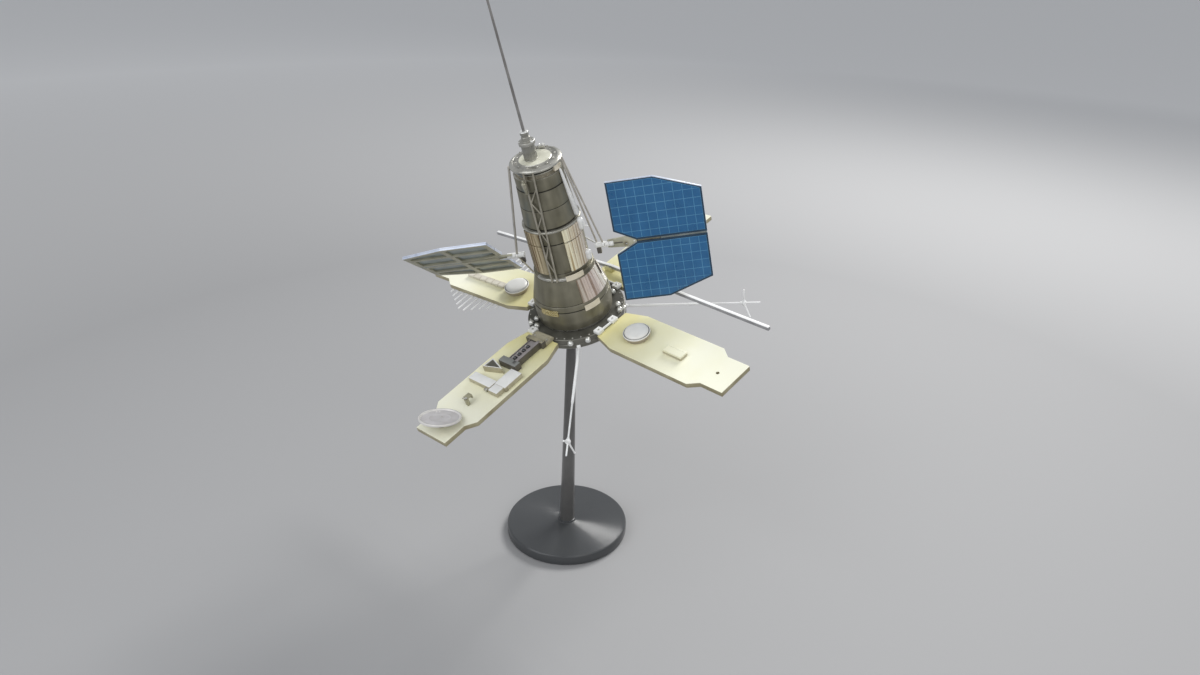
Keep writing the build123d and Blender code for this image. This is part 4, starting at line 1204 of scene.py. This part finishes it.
mast = {
    "root": 60.5, "droop": 5.0, "knot": 139.0, "knotRadius": 3.2, "pin": ((-1, -2.2, 0), (-1, 2.2, 0), 2.4),
    # start, end and both radii along the mast
    "shafts": (
        (0.4, 84.0, 1.7, 1.6), (83.6, 87.0, 1.6, 1.1), (84.0, 158.0, 1.1, 0.9), (134.0, 139.0, 1.5, 2.2),
    ),
    # reach and both radii of a side arm and of its collar, and the knob at its end
    "arm": ((19.0, 1.1, 0.9), (4.6, 1.7, 1.4)), "knobAt": 18.4, "knobRadius": 1.15,
    # name, azimuth and level of the root, azimuth of the rod, side arms' directions
    "rows": (
        ("right", -1, -9, -8, ((0, 0, 1), (0.35, -0.75, -0.55))),
        ("front", -90, -11, -97, ((0.6, 0, 0.8), (0.05, 0.17, -0.98))),
    ),
}
for name, rootAzimuth, level, azimuth, arms in mast["rows"]:
    knot = Vector((mast["knot"], 0, 0))
    parts = [rod((start, 0, 0), (end, 0, 0), *radii) for start, end, *radii in mast["shafts"]]
    parts += [ball(knot, mast["knotRadius"], 20), rod(*mast["pin"])]
    for arm in arms:
        aim = Vector(arm).normalized()
        parts += [rod(knot, knot + aim * reach, *radii) for reach, *radii in mast["arm"]]
        parts.append(ball(knot + aim * mast["knobAt"], mast["knobRadius"], 14))
    place = satellitePlace @ turn(rootAzimuth) @ shift(mast["root"], 0, level)
    place = place @ turn(azimuth - rootAzimuth) @ turn(mast["droop"], "Y")
    settle(paint(joined(parts), "rodWhite"), "mast_" + name + "_rod", place, "mast_" + name, "white_rod", 40)

comb = {
    "first": 108.0, "pitch": 9.29, "count": 10, "level": -9.0, "radius": 1.25, "middle": 61.5, "end": 36.6,
    "collarHalf": 3.2, "collarRadius": 1.7, "spine": 1.6, "bottom": -10.2, "top": -6.0,
}
parts = []
for i in range(comb["count"]):
    out = comb["first"] + i * comb["pitch"]
    half = comb["middle"] - (comb["middle"] - comb["end"]) * abs(2 * i / (comb["count"] - 1) - 1)
    for reach, radius in ((half, comb["radius"]), (comb["collarHalf"], comb["collarRadius"])):
        parts.append(rod((out, -reach, comb["level"]), (out, reach, comb["level"]), radius))
last = comb["first"] + comb["pitch"] * (comb["count"] - 1)
ends = (comb["first"] - 3, -comb["spine"], comb["bottom"]), (last + 3, comb["spine"], comb["top"])
parts.append(box(*ends, 0.3))
settle(paint(joined(parts), "rodWhite"), "combAntenna", petalPlace("back_left"), "comb_antenna", "white_rod")

print("finishes of the CAD nodes that stay")
keptFinishes = {
    "boom": "boomGrey", "truss_front": "oliveRod", "truss_back": "oliveRod",
    "struts_left": "strutPale", "struts_right": "strutPale", "arm_rod_right": "rodWhite",
    "brace_left": "oliveShade", "brace_right": "darkBrown",
}
for nodeName, finish in keptFinishes.items():
    nodes[nodeName].data.materials.clear()
    nodes[nodeName].data.materials.append(finishes[finish])

print("camera, floor and light")
camera = {"spot": (0.0394, -0.989, 0.7656), "down": 25.84, "roll": 1.25, "lens": 27.0}
bpy.ops.object.camera_add(location=camera["spot"])
eye = bpy.context.object
eye.rotation_euler = (turn(90 - camera["down"], "X") @ turn(camera["roll"])).to_euler()
eye.data.sensor_width = 36
eye.data.lens = camera["lens"]
eye.data.clip_start = 0.01
bpy.context.scene.camera = eye

clearSelection()
bpy.ops.mesh.primitive_plane_add(size=30, location=(0, 0, -0.0004))
floor = bpy.context.object
floor.name = "floorSheet"
finish, shader = newFinish("floorPale")
# a little paler with distance, where the lamps reach less
reach = addNode(finish, "VectorMath", {0: objectCoords(finish)}, operation="LENGTH").outputs["Value"]
far = rangeOf(finish, reach, 1.1, 4.0)
addColour(finish, shader, far, (0.0, (0.34, 0.34, 0.345)), (1.0, (0.86, 0.86, 0.86)))
shader["Roughness"].default_value = 0.7
floor.data.materials.append(finish)

# name, place, size, power, colour
lamps = [
    ("keyLamp", (1.15, 1.4, 2.0), 1.0, 54, (1.0, 0.99, 0.97)),
    ("fillLamp", (-1.4, -1.2, 1.7), 1.8, 21, (0.96, 0.98, 1.0)),
    ("frontLamp", (0.9, -1.7, 1.5), 1.6, 13, (1.0, 0.99, 0.97)),
]
for name, spot, size, power, colour in lamps:
    bpy.ops.object.light_add(type="AREA", location=spot)
    lamp = bpy.context.object
    lamp.name = name
    lamp.data.size = size
    lamp.data.energy = power
    lamp.data.color = colour
    lamp.rotation_euler = (Vector((0, 0, 0.35)) - Vector(spot)).to_track_quat("-Z", "Y").to_euler()
world = bpy.data.worlds.new("studio")
world.use_nodes = True
sky = world.node_tree.nodes["Background"].inputs
sky["Color"].default_value = (0.92, 0.95, 1.0, 1)
sky["Strength"].default_value = 0.45
bpy.context.scene.world = world
bpy.context.scene.view_settings.view_transform = "Standard"
